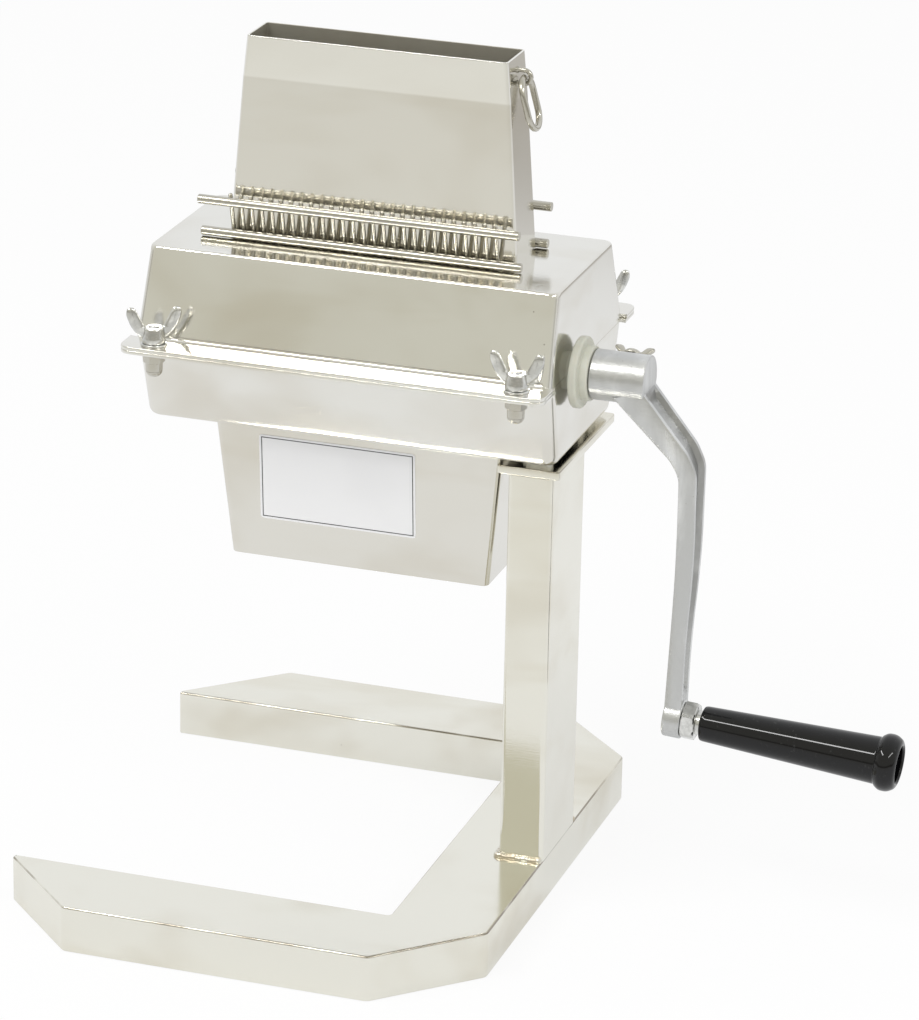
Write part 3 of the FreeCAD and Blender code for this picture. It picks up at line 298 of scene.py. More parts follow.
def inside_finish(name, base):
    """Unpolished inside of a chute: satin, with drawn-out browner rubbing marks."""
    f = Finish(name)
    rubbed = f.noise(30.0, 3.0, 0.6, f.stretched((1.0, 1.0, 0.2))).step(0.4, 0.7)
    shade_now = f.mix(rubbed * 0.4, base, tint(base, 0.7, 0.66, 0.6))
    return f.set(color=shade_now, rough=rubbed * 0.1 + 0.46, metal=0.55, normal=f.bump(rubbed, 0.1, 0.0004))


def wire_finish(name, base, rough):
    """Drawn wire and ground blades: fine lines and a little tarnish."""
    f = Finish(name)
    lines = f.noise(220.0, 2.0, 0.6, f.stretched((0.15, 1.0, 1.0)))
    dull = f.noise(30.0, 2.0).step(0.45, 0.7)
    shade_now = f.mix(dull * 0.35, base, tint(base, 0.7))
    return f.set(color=shade_now, rough=lines * 0.08 + dull * 0.08 + rough, metal=1.0,
                 normal=f.bump(lines, 0.04, 0.0003))


def casting_finish(name, base):
    """Die-cast aluminium: fine pebbled skin, flow marks and brighter rubbed patches."""
    f = Finish(name)
    pebbles = f.noise(520.0, 2.0, 0.6)
    flow = f.noise(38.0, 4.0, 0.6, f.stretched((1.0, 1.0, 0.35)), 0.5)
    pits = f.cells(420.0).step(0.16, 0.05) * f.noise(60.0).step(0.55, 0.65)
    bright = flow.step(0.42, 0.66)
    shade_now = f.mix(pits * 0.6, f.mix(bright, tint(base, 0.84), tint(base, 1.12)), tint(base, 0.45))
    normal = f.bump(flow, 0.12, 0.0010)
    normal = f.bump(pebbles * 0.7 - pits * 0.6, 0.45, 0.0005, normal)
    return f.set(color=shade_now, rough=0.34 - bright * 0.08 + pits * 0.2, metal=0.85, normal=normal)


def zinc_finish(name, base):
    """Zinc plating: mottled, slightly dull in the hollows."""
    f = Finish(name)
    mottle = f.noise(160.0, 3.0, 0.6)
    dull = mottle.step(0.4, 0.65)
    shade_now = f.mix(dull, tint(base, 0.82), tint(base, 1.08))
    return f.set(color=shade_now, rough=0.24 - dull * 0.06, metal=1.0, normal=f.bump(mottle, 0.08, 0.0003))


def nylon_finish(name, base):
    """Turned nylon: fine tool lines round the axis and a faint grey bloom."""
    f = Finish(name)
    lines = f.noise(900.0, 1.0, 0.5, f.stretched((1.0, 0.03, 0.03)))
    bloom = f.noise(70.0, 3.0, 0.6).step(0.45, 0.7)
    shade_now = f.mix(bloom * 0.3, base, tint(base, 0.86))
    material = f.set(color=shade_now, rough=lines * 0.12 + bloom * 0.08 + 0.36, metal=0.0,
                     normal=f.bump(lines, 0.1, 0.0002))
    f.shader.inputs["Subsurface Weight"].default_value = 0.12
    f.shader.inputs["Subsurface Radius"].default_value = (0.004, 0.003, 0.002)
    return material


def grip_finish(name, base):
    """Glossy black moulding: hairline scuffs and dust."""
    f = Finish(name)
    scuffs = f.noise(95.0, 4.0, 0.7, f.stretched((0.4, 3.0, 3.0))).step(0.6, 0.78)
    dust = f.noise(420.0, 2.0, 0.6).step(0.62, 0.75)
    shade_now = f.mix(dust * 0.12, base, (0.16, 0.16, 0.16))
    f.shader.inputs["Specular IOR Level"].default_value = 0.38
    return f.set(color=shade_now, rough=scuffs * 0.06 + dust * 0.02 + 0.035, metal=0.0,
                 normal=f.bump(scuffs, 0.03, 0.0002))


def plate_finish(name, base):
    """Printed film of the bare type plate: off-white, faintly orange-peeled."""
    f = Finish(name)
    peel = f.noise(900.0, 2.0, 0.5)
    age = f.noise(22.0, 2.0).step(0.45, 0.75)
    shade_now = f.mix(age * 0.25, base, tint(base, 0.9))
    return f.set(color=shade_now, rough=0.30 + peel * 0.06, metal=0.0, normal=f.bump(peel, 0.03, 0.0002))


def weld_finish(name, base):
    """Bare weld metal: straw and grey tempering colours."""
    f = Finish(name)
    heat = f.noise(160.0, 3.0, 0.6).step(0.4, 0.65)
    shade_now = f.mix(heat, tint(base, 0.7, 0.63, 0.54), tint(base, 0.95))
    return f.set(color=shade_now, rough=0.34 - heat * 0.12, metal=1.0, normal=f.bump(heat, 0.15, 0.0003))


FINISHES = {}


def finishes():
    """Every finish, made once from the colours."""
    if not FINISHES:
        c = bpy.context.scene.tender_colours
        sheet, stand, wire = tuple(c.sheet), tuple(c.stand), tuple(c.wire)
        FINISHES.update(
            polished_steel=sheet_finish("polished sheet", sheet, 0.07, 0.004, (1.0, 40.0, 40.0)),
            # Painted reflection on the chutes: brighter above the crease height, browner below it.
            chute_steel=sheet_finish("chute sheet", sheet, 0.08, 0.003, (40.0, 40.0, 1.0), CREASE_Z * MM),
            chute_inside=inside_finish("chute inside", tint(sheet, 0.52, 0.5, 0.44)),
            # The stand sheet gets stronger smudges and painted shade along its rolled edges.
            brushed_steel=sheet_finish("stand sheet", stand, 0.12, 0.003, (1.0, 1.0, 30.0), smudges_and_edge_shade=1.3),
            wire=wire_finish("bright wire", wire, 0.16),
            blades=wire_finish("ground blades", tint(wire, 0.8), 0.22),
            zinc_steel=zinc_finish("zinc plating", tuple(c.zinc)),
            cast_aluminium=casting_finish("cast aluminium", tuple(c.casting)),
            # Painted shade: the arm's recess takes a darker copy of the cast aluminium.
            cast_recess=casting_finish("cast recess painted shade", tint(c.casting, 0.71)),
            white_nylon=nylon_finish("white nylon", tuple(c.nylon)),
            black_grip=grip_finish("black grip", tuple(c.grip)),
            plate=plate_finish("type plate film", tuple(c.plate)),
            plate_line=plate_finish("plate border", (0.03, 0.03, 0.035)),
            weld=weld_finish("weld metal", stand))
    return FINISHES


# Surfaces worked out as arrays, in millimetres

def quads(rows, columns, wrap_rows=False, wrap_columns=True):
    """Corner numbers of the quads of a grid of rows by columns points."""
    r = np.arange(rows if wrap_rows else rows - 1)[:, None]
    c = np.arange(columns if wrap_columns else columns - 1)[None, :]
    r2, c2 = (r + 1) % rows, (c + 1) % columns
    corners = [r * columns + c, r * columns + c2, r2 * columns + c2, r2 * columns + c]
    return np.stack(corners, -1).reshape(-1, 4)


def filled(loops, up=True):
    """Corner numbers of the triangles between a flat loop and its holes, all turned up or all down."""
    flat = np.array([(v.x, v.y) for loop in loops for v in loop])
    fill = np.array(tessellate_polygon(loops))
    one, two = flat[fill[:, 1]] - flat[fill[:, 0]], flat[fill[:, 2]] - flat[fill[:, 0]]
    turned = (one[:, 0] * two[:, 1] - one[:, 1] * two[:, 0] < 0) == up
    fill[turned] = fill[turned][:, ::-1]
    return fill


def flat_loop(points):
    return [Vector((q[0], q[1], 0.0)) for q in points]


def softened(points, radii, steps, closed=True, hold=0.25):
    """Each corner becomes the parabola (1-t)^2 a + 2t(1-t) p + t^2 b between points a and b on its sides,
    a and b lying one radius from the corner p; a further point just before a and after b holds the flats."""
    p = np.asarray(points, float)
    radii = np.broadcast_to(np.asarray(radii, float), len(p))
    before = np.roll(p, 1, 0) - p
    after = np.roll(p, -1, 0) - p
    lb = np.linalg.norm(before, axis=1)
    la = np.linalg.norm(after, axis=1)
    cut = np.minimum(radii, 0.48 * np.minimum(lb, la))[:, None]
    ub = before / lb[:, None]
    ua = after / la[:, None]
    t = np.linspace(0, 1, steps + 1)[None, :, None]
    a = (p + ub * cut)[:, None]
    b = (p + ua * cut)[:, None]
    arc = (1 - t) ** 2 * a + 2 * t * (1 - t) * p[:, None] + t ** 2 * b
    guard = np.minimum(hold, 0.3 * np.minimum(lb, la))[:, None]
    first = (p + ub * (cut + guard))[:, None]
    last = (p + ua * (cut + guard))[:, None]
    rows = np.concatenate([first, arc, last], 1)
    if not closed:
        rows = np.concatenate([p[:1], *rows[1:-1], p[-1:]])
    rows = rows.reshape(-1, p.shape[1])
    apart = np.linalg.norm(rows - np.roll(rows, 1, 0), axis=1) > 1e-6
    if not closed:
        apart[0] = True
    return rows[apart]


def unit(vectors):
    return vectors / np.linalg.norm(vectors, axis=-1, keepdims=True)


def frame_of(along):
    """Two unit vectors square to a direction, then the direction as a unit vector."""
    z = unit(np.asarray(along, float))
    x = unit(np.cross((0.0, 0.0, 1.0) if abs(z[2]) < 0.9 else (1.0, 0.0, 0.0), z))
    return x, np.cross(z, x), z


def spokes(x, y, sides, turn=0.0):
    """cos a x + sin a y for angles a evenly round the turn."""
    a = np.linspace(0, TURN, sides, endpoint=False) + turn
    return np.cos(a)[:, None] * x + np.sin(a)[:, None] * y


def lifted(plan, heights):
    """Rows of plan points, each row at its own height."""
    z = np.broadcast_to(heights[:, None, None], plan.shape[:2] + (1,))
    return np.concatenate([plan, z], -1)


def linked(name, data):
    """A new object in the scene."""
    made = bpy.data.objects.new(name, data)
    bpy.context.scene.collection.objects.link(made)
    return made


class Shape:
    """Vertices and faces of one piece, gathered from several surfaces."""

    def __init__(self):
        self.points = []
        self.faces = []
        self.skins = []
        self.count = 0

    def add(self, points, faces, skin=0):
        points = np.asarray(points, float).reshape(-1, 3)
        self.points.append(points)
        self.faces += [[int(v) + self.count for v in face] for face in faces]
        self.skins += [skin] * len(faces)
        self.count += len(points)
        return self

    def grid(self, points, wrap_rows=False, caps=False):
        """points[row, column]; caps closes the first and last row with one flat face each."""
        rows, columns = points.shape[:2]
        faces = quads(rows, columns, wrap_rows).tolist()
        if caps:
            faces.append(list(range(columns))[::-1])
            faces.append([(rows - 1) * columns + k for k in range(columns)])
        return self.add(points, faces)

    def lathe(self, profile, start, along, sides, radii, steps, bore=False):
        """Surface of revolution: start + d along + r (cos a x + sin a y) for each profile point (d, r).
        A profile that starts and ends on the axis closes in a pole; with bore it is a closed ring section."""
        flat = 0.15
        rows = softened(profile, radii, steps, bore, flat)
        x, y, z = frame_of(along)
        spoke = spokes(x, y, sides)
        around = rows if bore else rows[1:-1]
        points = np.asarray(start, float) + around[:, None, :1] * z + around[:, None, 1:] * spoke[None]
        if bore:
            return self.grid(points, wrap_rows=True)
        n = len(around)
        poles = np.asarray(start, float) + rows[[0, -1], :1] * z
        k = np.arange(sides)
        after = (k + 1) % sides
        low = np.stack([np.full(sides, n * sides), after, k], 1)
        high = np.stack([np.full(sides, n * sides + 1), (n - 1) * sides + k, (n - 1) * sides + after], 1)
        faces = quads(n, sides).tolist() + low.tolist() + high.tolist()
        return self.add(np.concatenate([points.reshape(-1, 3), poles]), faces)

    def tube(self, path, radius, sides, closed=False, ends=True):
        """Circle of a given radius carried along a path, one of its axes in the plane nearest the path."""
        p = np.asarray(path, float)
        way = unit(np.roll(p, -1, 0) - np.roll(p, 1, 0) if closed else np.gradient(p, axis=0))
        spread = np.linalg.svd(p - p.mean(0))[2][2]
        side = np.cross(way, spread)
        flat = np.linalg.norm(side, axis=1)
        side = np.where(flat[:, None] > 0.2, side / np.maximum(flat, 1e-9)[:, None], frame_of(way[0])[0])
        up = np.cross(side, way)
        ring = spokes(side[:, None], up[:, None], sides)
        radius = np.broadcast_to(np.asarray(radius, float), (len(p),))[:, None, None]
        points = p[:, None] + ring * radius
        if closed:
            return self.grid(points, wrap_rows=True)
        if ends:
            domes = []
            for k, out in ((0, -1), (-1, 1)):
                r = float(radius[k, 0, 0])
                domes.append([p[k] + out * way[k] * r * rise + ring[k] * r * shrink
                              for rise, shrink in ((0.35, 0.8), (0.55, 0.45))])
            points = np.concatenate([np.array(domes[0][::-1]), points, np.array(domes[1])])
        return self.grid(points, caps=True)

    def box_rings(self, rows, centre=(HOUSE_X, HOUSE_Y), closed=True, caps=False):
        """Rounded rectangles (length, depth, corner, height) stacked row by row. A corner point is
        centre + (sx (length/2 - corner) + corner cos a, sy (depth/2 - corner) + corner sin a)."""
        per_corner, flat = 6, 0.4
        rows = np.asarray(rows, float)
        signs = np.array([(1, 1), (-1, 1), (-1, -1), (1, -1)], float)
        a = np.linspace(0, math.pi / 2, per_corner + 1)[None] + np.arange(4)[:, None] * math.pi / 2
        arc = np.stack([np.cos(a), np.sin(a)], -1)
        first, last = arc[:, 0], arc[:, -1]
        l, d, c = [rows[:, k][:, None, None] for k in range(3)]
        middle = np.concatenate([signs[None, :, :1] * (l / 2 - c), signs[None, :, 1:] * (d / 2 - c)], -1)
        bend = middle[:, :, None] + arc[None] * c[..., None]
        back = middle + first[None] * c + np.array([[0, -1], [1, 0], [0, 1], [-1, 0]])[None] * flat
        fore = middle + last[None] * c + np.array([[-1, 0], [0, -1], [1, 0], [0, 1]])[None] * flat
        ring = np.concatenate([back[:, :, None], bend, fore[:, :, None]], 2).reshape(len(rows), -1, 2)
        return self.grid(lifted(ring + np.array(centre), rows[:, 3]), wrap_rows=closed, caps=caps)

    def slab(self, outline, low, high, edge, steps=3):
        """Flat plate between heights low and high, its outline anticlockwise. At edge (1 - cos t) from a
        face the outline is drawn in by edge (1 - sin t)."""
        p = np.asarray(outline, float)
        fore = unit(np.roll(p, -1, 0) - p)
        bis = fore + unit(p - np.roll(p, 1, 0))
        inward = np.stack([-bis[:, 1], bis[:, 0]], 1)
        inward /= np.maximum((inward * np.stack([-fore[:, 1], fore[:, 0]], 1)).sum(1), 0.2)[:, None]
        t = np.linspace(0, math.pi / 2, steps + 1)
        lift = edge * (1 - np.cos(t))
        drawn = edge * (1 - np.sin(t))
        heights = np.r_[low, low + lift, high - lift[::-1], high]
        insets = np.r_[edge + 0.2, drawn, drawn[::-1], edge + 0.2]
        points = lifted(p[None] + inward[None] * insets[:, None, None], heights)
        rows, columns = points.shape[:2]
        fill = filled([flat_loop(points[0])])
        ends = np.concatenate([fill[:, ::-1], fill + (rows - 1) * columns])
        return self.add(points, quads(rows, columns).tolist() + ends.tolist())

    def moved(self, matrix):
        """The gathered points carried by a 4 by 4 matrix given in millimetres."""
        m = np.array(matrix)
        self.points = [q @ m[:3, :3].T + m[:3, 3] for q in self.points]

    def piece(self, name, body, slot, skins, sharp=32.0, replaces=()):
        """The finished Blender object, riding on its body."""
        mesh = bpy.data.meshes.new(name)
        mesh.from_pydata((np.concatenate(self.points) * MM).tolist(), [], self.faces)
        mesh.validate()
        for skin in skins:
            mesh.materials.append(finishes()[skin])
        if len(skins) > 1 and len(mesh.polygons) == len(self.skins):
            mesh.polygons.foreach_set("material_index", self.skins)
        mesh.polygons.foreach_set("use_smooth", np.ones(len(mesh.polygons), bool))
        mesh.set_sharp_from_angle(angle=math.radians(sharp))
        mesh.update()
        made = linked(name, mesh)
        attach(made, body)
        if replaces:
            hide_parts(*replaces)


def rounded_box(size, corner, x, y):
    """Outline of a rectangle with round corners, anticlockwise."""
    a, b = size[0] / 2, size[1] / 2
    return softened(np.array([(a, -b), (a, b), (-a, b), (-a, -b)]) + (x, y), corner, 6)


def within(size, wall=SHEET):
    """Length and depth inside a wall of a given outside."""
    return size[0] - 2 * wall, size[1] - 2 * wall


def dress(nodes, skin):
    """Gives CAD nodes that stay their finish."""
    for name in nodes:
        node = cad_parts[name]
        node.data.materials.clear()
        node.data.materials.append(finishes()[skin])


# Stand

def foot_outline():
    """C-shaped plan with bevelled outer corners; open to the left."""
    right, side = POST[0] / 2, FOOT[1] / 2
    left, inner, bar, cut = right - FOOT[0], side - 51.5, right - 54.0, 48.5
    half = [(bar, inner), (left, inner), (left, side - cut), (left + cut, side), (right - cut, side),
            (right, side - cut)]
    corners = [(x, -y) for x, y in half] + half[::-1]
    radii = [3.0, 0.8, 0.8, 2.0, 2.0, 2.0]
    return softened(np.array(corners), radii + radii[::-1], 4)


def make_stand():
    sizes = bpy.context.scene.tender_sheet
    foot = Shape().slab(foot_outline(), 0.0, FOOT_HEIGHT, sizes.foot_roll / MM, 5)
    foot.piece("foot", "base", "brushed_steel", ["brushed_steel"], replaces=["base_foot"])
    ends = [(*POST, 2.6, FOOT_HEIGHT - 0.3), (*POST, 2.6, SADDLE_Z)]
    post = Shape().box_rings(ends, (0.0, 0.0), closed=False, caps=True)
    post.piece("post_tube", "base", "brushed_steel", ["brushed_steel"], replaces=["post"])
    plate = Shape().slab(rounded_box(SADDLE, 2.0, -1.45, HOUSE_Y), SADDLE_Z, SADDLE_Z + SADDLE_THICK, 0.5)
    plate.piece("saddle", "base", "brushed_steel", ["brushed_steel"], replaces=["saddle_plate"])
    dress(["saddle_screws", "saddle_nuts", "saddle_spacers"], "zinc_steel")
    make_weld()


def make_weld():
    """Bead along three sides of the post's foot: at s mm along a side its radius is
    1.75 (1 + 0.1 |sin(pi s / 1.5)| + 0.05 sin(0.7 s)), and it wanders up and down by 0.25 sin(0.9 s)."""
    bead = Shape()
    hx, hy, stop = POST[0] / 2 + 0.6, POST[1] / 2 + 0.6, 11.2
    for start, end in (((-hx, -hy), (stop, -hy)), ((-hx, hy), (-hx, -hy)), ((stop, hy), (-hx, hy))):
        run = math.dist(start, end)
        t = np.linspace(0, 1, int(run / 0.3))
        ripple = 1.75 * (1 + 0.10 * np.abs(np.sin(t * run / 1.5 * math.pi)) + 0.05 * np.sin(t * run * 0.7))
        wander = 0.25 * np.sin(t * run * 0.9)
        path = np.stack([start[0] + (end[0] - start[0]) * t, start[1] + (end[1] - start[1]) * t,
                         FOOT_HEIGHT + 0.4 + wander], 1)
        bead.tube(path, ripple, 10)
    bead.piece("weld_bead", "base", "brushed_steel", ["weld"], 60, ["post_weld"])


# Housing

def shell_rows(outer, inner, radii_outer, radii_inner, closed=True):
    """Rows along the outside, round the sheet's edge and back along the inside."""
    radii = radii_outer + radii_inner[::-1]
    return softened(np.array(outer + inner[::-1]), radii, 6, closed, 0.5)


def lip_outline(wall_half, side):
    """Plan of one flange lip, from inside the wall to the rounded outer corners."""
    corner = bpy.context.scene.tender_sheet.lip_corner / MM
    near, far, half = wall_half - 1.0, LIPS[1] / 2, LIPS[0] / 2
    corners = [(-half, near), (half, near), (half, far), (-half, far)]
    if side < 0:
        corners = [(x, -y) for x, y in corners[::-1]]
    radii = [0.0, 0.0, corner, corner] if side > 0 else [corner, corner, 0.0, 0.0]
    return softened(np.array(corners), radii, 7) + (HOUSE_X, HOUSE_Y)


def add_flanges(shape, size, slope, up):
    """Lips along front and back, above (up 1) or below (up -1) the joint, and the bend between wall and lip:
    y = wall + r (1 - sin a), z = face + up r (1 - cos a), carried along X and sunk a little into both."""
    face_z, wall_half = SHAFT_Z + up * FLANGE, size[1] / 2
    r, steps = 2.2, 6
    a = np.linspace(0, math.pi / 2, steps)
    for side in (-1, 1):
        shape.slab(lip_outline(wall_half, side), min(SHAFT_Z, face_z), max(SHAFT_Z, face_z), 0.45)
    for side in (-1, 1):
        y = side * (wall_half - slope + r * (1 - np.sin(a)) - 0.25)
        z = face_z + up * (r * (1 - np.cos(a)) - 0.05)
        rows = np.stack([np.c_[x + 0 * y, y, z] for x in (4.0 - size[0] / 2, size[0] / 2 - 4.0)], 1)
        faces = quads(steps, 2, wrap_columns=False)
        shape.add(rows + (HOUSE_X, HOUSE_Y, 0), (faces[:, ::-1] if side * up > 0 else faces).tolist())


def make_body():
    roll = bpy.context.scene.tender_sheet.housing_roll / MM
    opening, floor_z = within(OUTLET_TOP, CHUTE_SHEET), BODY_Z + SHEET
    outer = [(*BODY_TOP, 6.5, SHAFT_Z), (*BODY_BOTTOM, 6.5, BODY_Z), (*opening, 2.0, BODY_Z)]
    inner = [(*within(BODY_TOP), 5.0, SHAFT_Z), (*within(BODY_BOTTOM), 5.0, floor_z),
             (*opening, 2.0, floor_z)]
    rows = shell_rows(outer, inner, (0.2, roll, 0.2), (0.2, roll - SHEET, 0.2))
    body = Shape().box_rings(rows[::-1])
    add_flanges(body, BODY_TOP, 0.5, -1)
    body.piece("housing_body", "base", "polished_steel", ["polished_steel"], replaces=["lower_housing"])


def make_cover():
    """Rolled walls, then a flat top with the feed opening and the two slots for the tines cut out."""
    roll = bpy.context.scene.tender_sheet.cover_roll / MM
    ledge, under_z = within(COVER_TOP, 7.0), COVER_Z - SHEET
    outer = [(*ledge, 4.0, COVER_Z), (*COVER_TOP, 5.5, COVER_Z), (*COVER_BOTTOM, 5.5, SHAFT_Z)]
    inner = [(*ledge, 3.0, under_z), (*within(COVER_TOP), 4.0, under_z),
             (*within(COVER_BOTTOM), 4.0, SHAFT_Z)]
    rows = shell_rows(outer, inner, (0, roll, 0.2), (0, roll - SHEET, 0.2), closed=False)
    cover = Shape().box_rings(rows[::-1], closed=False)
    ring = np.concatenate(cover.points)
    count = len(ring) // len(rows)
    slot, slot_out = (TINE_PITCH * (TINES + 1), 3.8), 19.0
    holes = [rounded_box(within(FEED_FOOT, CHUTE_SHEET), 1.2, HOUSE_X, HOUSE_Y)]
    holes += [rounded_box(slot, 1.6, ROLLER_X, HOUSE_Y + side * slot_out) for side in (-1, 1)]
    for edge_ring, z, up in ((ring[-count:], COVER_Z, True), (ring[:count], under_z, False)):
        loops = [flat_loop(loop) for loop in [edge_ring] + holes]
        cover.add([(v.x, v.y, z) for loop in loops for v in loop], filled(loops, up).tolist())
    for hole in holes:
        cover.grid(np.stack([np.c_[hole, np.full(len(hole), z)] for z in (COVER_Z, under_z)]))
    add_flanges(cover, COVER_BOTTOM, 0.6, 1)
    cover.piece("housing_cover", "base", "polished_steel", ["polished_steel"], replaces=["cover"])


# Chutes

def fold_chute(name, node, levels, folds, edges):
    """Walls through levels of ((length, depth), height), their inside in the second finish. The upright folds
    are given outside and inside, and edges are the bends at each level."""
    outside = [(*size, folds[0], z) for size, z in levels]
    inside = [(*within(size, CHUTE_SHEET), folds[1], z) for size, z in levels]
    rows = shell_rows(outside, inside, edges, edges)
    chute = Shape().box_rings(rows)
    columns = len(chute.faces) // len(rows)
    chute.skins = [int(k // columns >= len(rows) // 2) for k in range(len(chute.faces))]
    chute.piece(name, "base", "polished_steel", ["chute_steel", "chute_inside"], 40, [node])


def make_chutes():
    fold = bpy.context.scene.tender_sheet.chute_fold / MM
    feed = [(FEED_FOOT, COVER_Z - 0.4), (FEED_CREASE, CREASE_Z), (FEED_RIM, RIM_Z)]
    fold_chute("feed_walls", "feed_chute", feed, (fold, fold - 1.0), (0.1, 2.5, 0.45))
    outlet = [(OUTLET_MOUTH, BODY_Z - OUTLET_DROP), (OUTLET_TOP, BODY_Z + 0.2)]
    fold_chute("discharge_walls", "discharge_chute", outlet, (3.4, 2.2), (0.45, 0.1))
    make_type_plate()


def make_type_plate():
    """Bare film with a thin border on the discharge chute's front, set in the plane of that wall."""
    x0, x1, z0, z1 = -154.8, -67.6, 192.6, 241.0
    margin, line, thick, print_lift = 1.2, 0.5, 0.25, 0.03
    slope = (OUTLET_TOP[1] - OUTLET_MOUTH[1]) / 2 / OUTLET_DROP

    def on_wall(x, z, lift):
        y = HOUSE_Y - OUTLET_MOUTH[1] / 2 - slope * (z - (BODY_Z - OUTLET_DROP)) - lift
        return np.stack([x, y, z], -1)

    def marks(low, high):
        return low, low + margin, low + margin + line, high - margin - line, high - margin, high

    film = Shape()
    outline = rounded_box((x1 - x0, z1 - z0), 2.0, (x0 + x1) / 2, (z0 + z1) / 2)
    back = Shape().slab(outline, 0.0, thick, 0.08, 2)
    flat = np.concatenate(back.points)
    film.add(on_wall(flat[:, 0], flat[:, 1], flat[:, 2]), back.faces)
    x, z = np.meshgrid(marks(x0, x1), marks(z0, z1))
    row, column = np.divmod(np.arange(25), 5)
    border = np.maximum(abs(row - 2), abs(column - 2)) == 1
    film.add(on_wall(x, z, thick + print_lift), quads(6, 6, wrap_columns=False)[border].tolist(), 1)
    film.piece("type_plate", "base", "polished_steel", ["plate", "plate_line"])


# Pull ring

def make_ring():
    """Oval link in its eye: two half circles joined by straight runs, hanging out from the wall."""
    x, y, z = HOUSE_X + FEED_RIM[0] / 2 + 4.4, HOUSE_Y, RIM_Z - 10.5
    r, straight, lean, eye_r = 8.2, 11.0, math.radians(15.5), 3.65
    a = np.linspace(0, math.pi, 15)
    upper = np.stack([r * np.cos(a), -r + r * np.sin(a)], 1)
    lower = np.stack([-r * np.cos(a), -r - straight - r * np.sin(a)], 1)
    loop = np.concatenate([upper, lower])
    path = np.stack([np.zeros(len(loop)), loop[:, 0], loop[:, 1]], 1)
    link = Shape().tube(path, 1.75, 14, closed=True)
    link.moved(Matrix.Translation((x, y, z)) @ Matrix.Rotation(-lean, 4, "Y"))
    link.piece("pull_link", "ring", "brushed_steel", ["wire"], 50, ["pull_ring"])
    bend = np.linspace(math.pi / 2, -math.pi / 2, 11)
    hook = np.stack([eye_r * np.cos(bend), np.zeros(11), eye_r * np.sin(bend)], 1)
    wire = [(-4.4, 0, eye_r), (-2.0, 0, eye_r), *hook, (-2.0, 0, -eye_r), (-3.9, 0, -eye_r)]
    eye = Shape().tube(wire, 1.25, 12, ends=False)
    eye.moved(Matrix.Translation((x, y, z)))
    for up in (1, -1):
        wall = x - 3.9 if up > 0 else x - 3.4
        weld = [(-0.4, 0), (-0.3, 2.0), (0.5, 1.9), (1.2, 1.5), (1.5, 0)]
        eye.lathe(weld, (wall, y, z + up * eye_r), (1, 0, 0), 16, 0.5, 3)
    eye.piece("link_eye", "base", "brushed_steel", ["wire"], 50, ["ring_eye"])


# Combs

def make_comb(side, shift, name, body, node):
    """Two bars and the bent tines. A tine runs straight up to a knee at the lower bar, where its distance out
    grows by lean (z - bend + knee)^2 / (4 knee), and then leans out straight to the upper bar."""
    low_z, rise, lean = COVER_Z + 2.8, 18.6, math.tan(math.radians(15.5))
    tine, bar, bar_length = 1.2, 2.5, 176.5
    tine_out = 17.1 + 0.7 + tine
    bar_out = tine_out + tine + bar
    top_z = low_z + rise
    shape = Shape()
    for out, z in ((bar_out, low_z), (bar_out + rise * lean, top_z)):
        profile = [(0, 0), (0, bar), (bar_length, bar), (bar_length, 0)]
        shape.lathe(profile, (ROLLER_X - bar_length / 2, HOUSE_Y + side * out, z), (1, 0, 0), 20, 0.5, 3)
    bend_z, crown_z, tip_z, knee = low_z - bar / 2, top_z + bar + 0.9, SHAFT_Z - 31.4, 2.4
    z = np.r_[tip_z, tip_z + 40.0, bend_z - knee + 2 * knee * np.linspace(0, 1, 6), crown_z - 8.0, crown_z]
    bent = lean * (z - bend_z + knee) ** 2 / (4 * knee)
    leaning = np.where(z > bend_z + knee, (z - bend_z) * lean, bent)
    out = tine_out + np.where(z < bend_z - knee, 0.0, leaning)
    for k in range(TINES):
        x = ROLLER_X + (k - (TINES - 1) / 2) * TINE_PITCH + shift
        path = np.stack([np.full(len(z), x), HOUSE_Y + side * out, z], 1)
        shape.tube(path, 1.15, 10)
    shape.piece(name, body, "brushed_steel", ["wire"], 50, [node])


# Fasteners

def wing(shape, side, root, low, span, high, thick, seat=0.0):
    """Pillow-shaped wing: its outline is drawn in to the middle by u, and (1 - u^6)^(1/2) thick there."""
    tip = span / 2
    corners = [(root * 0.4, low), (root + 0.3, low), (tip - 2.8, high * 0.42), (tip, high * 0.8),
               (tip - 0.9, high), (tip - 4.4, high), (root * 0.9, high * 0.45), (root * 0.4, high * 0.42)]
    outline = softened(corners, [0.6, 2.0, 3.0, 1.8, 1.6, 2.0, 3.5, 0.6], 4)
    middle = np.array([(root + tip) * 0.5 - 0.6, high * 0.46])
    u = np.array([0.04, 0.45, 0.8, 0.92, 0.98, 1.0])
    swell = (thick / 2) * np.sqrt(1 - u ** 6)
    plan = middle + (outline[None] - middle) * u[:, None, None]
    front = lifted(plan, swell)
    grid = np.concatenate([front, front[::-1][1:] * (1, 1, -1)])
    points = np.stack([side * grid[..., 0], grid[..., 2] * side, grid[..., 1] + seat], -1)
    shape.grid(points[::-1], caps=True)


def make_wing_nut(corner, sx, sy, turn):
    """Cone-shaped hub with two swept wings."""
    nut = Shape()
    profile = [(0, 3.05), (0, 6.2), (2.0, 6.3), (8.4, 5.2), (8.4, 3.05)]
    nut.lathe(profile, (0, 0, 0), (0, 0, 1), 32, [0.2, 0.7, 0.9, 0.7, 0.3], 3, bore=True)
    for side in (-1, 1):
        wing(nut, side, root=5.4, low=1.4, span=29.4, high=19.4, thick=2.6)
    seat_z = SHAFT_Z + FLANGE + 1.22
    place = Matrix.Translation((HOUSE_X + sx * STUD_X, HOUSE_Y + sy * STUD_Y, seat_z))
    nut.moved(place @ Matrix.Rotation(math.radians(turn), 4, "Z"))
    nut.piece("wing_nut." + corner, "nut_" + corner, "zinc_steel", ["zinc_steel"], 50, ["wing_nut_" + corner])


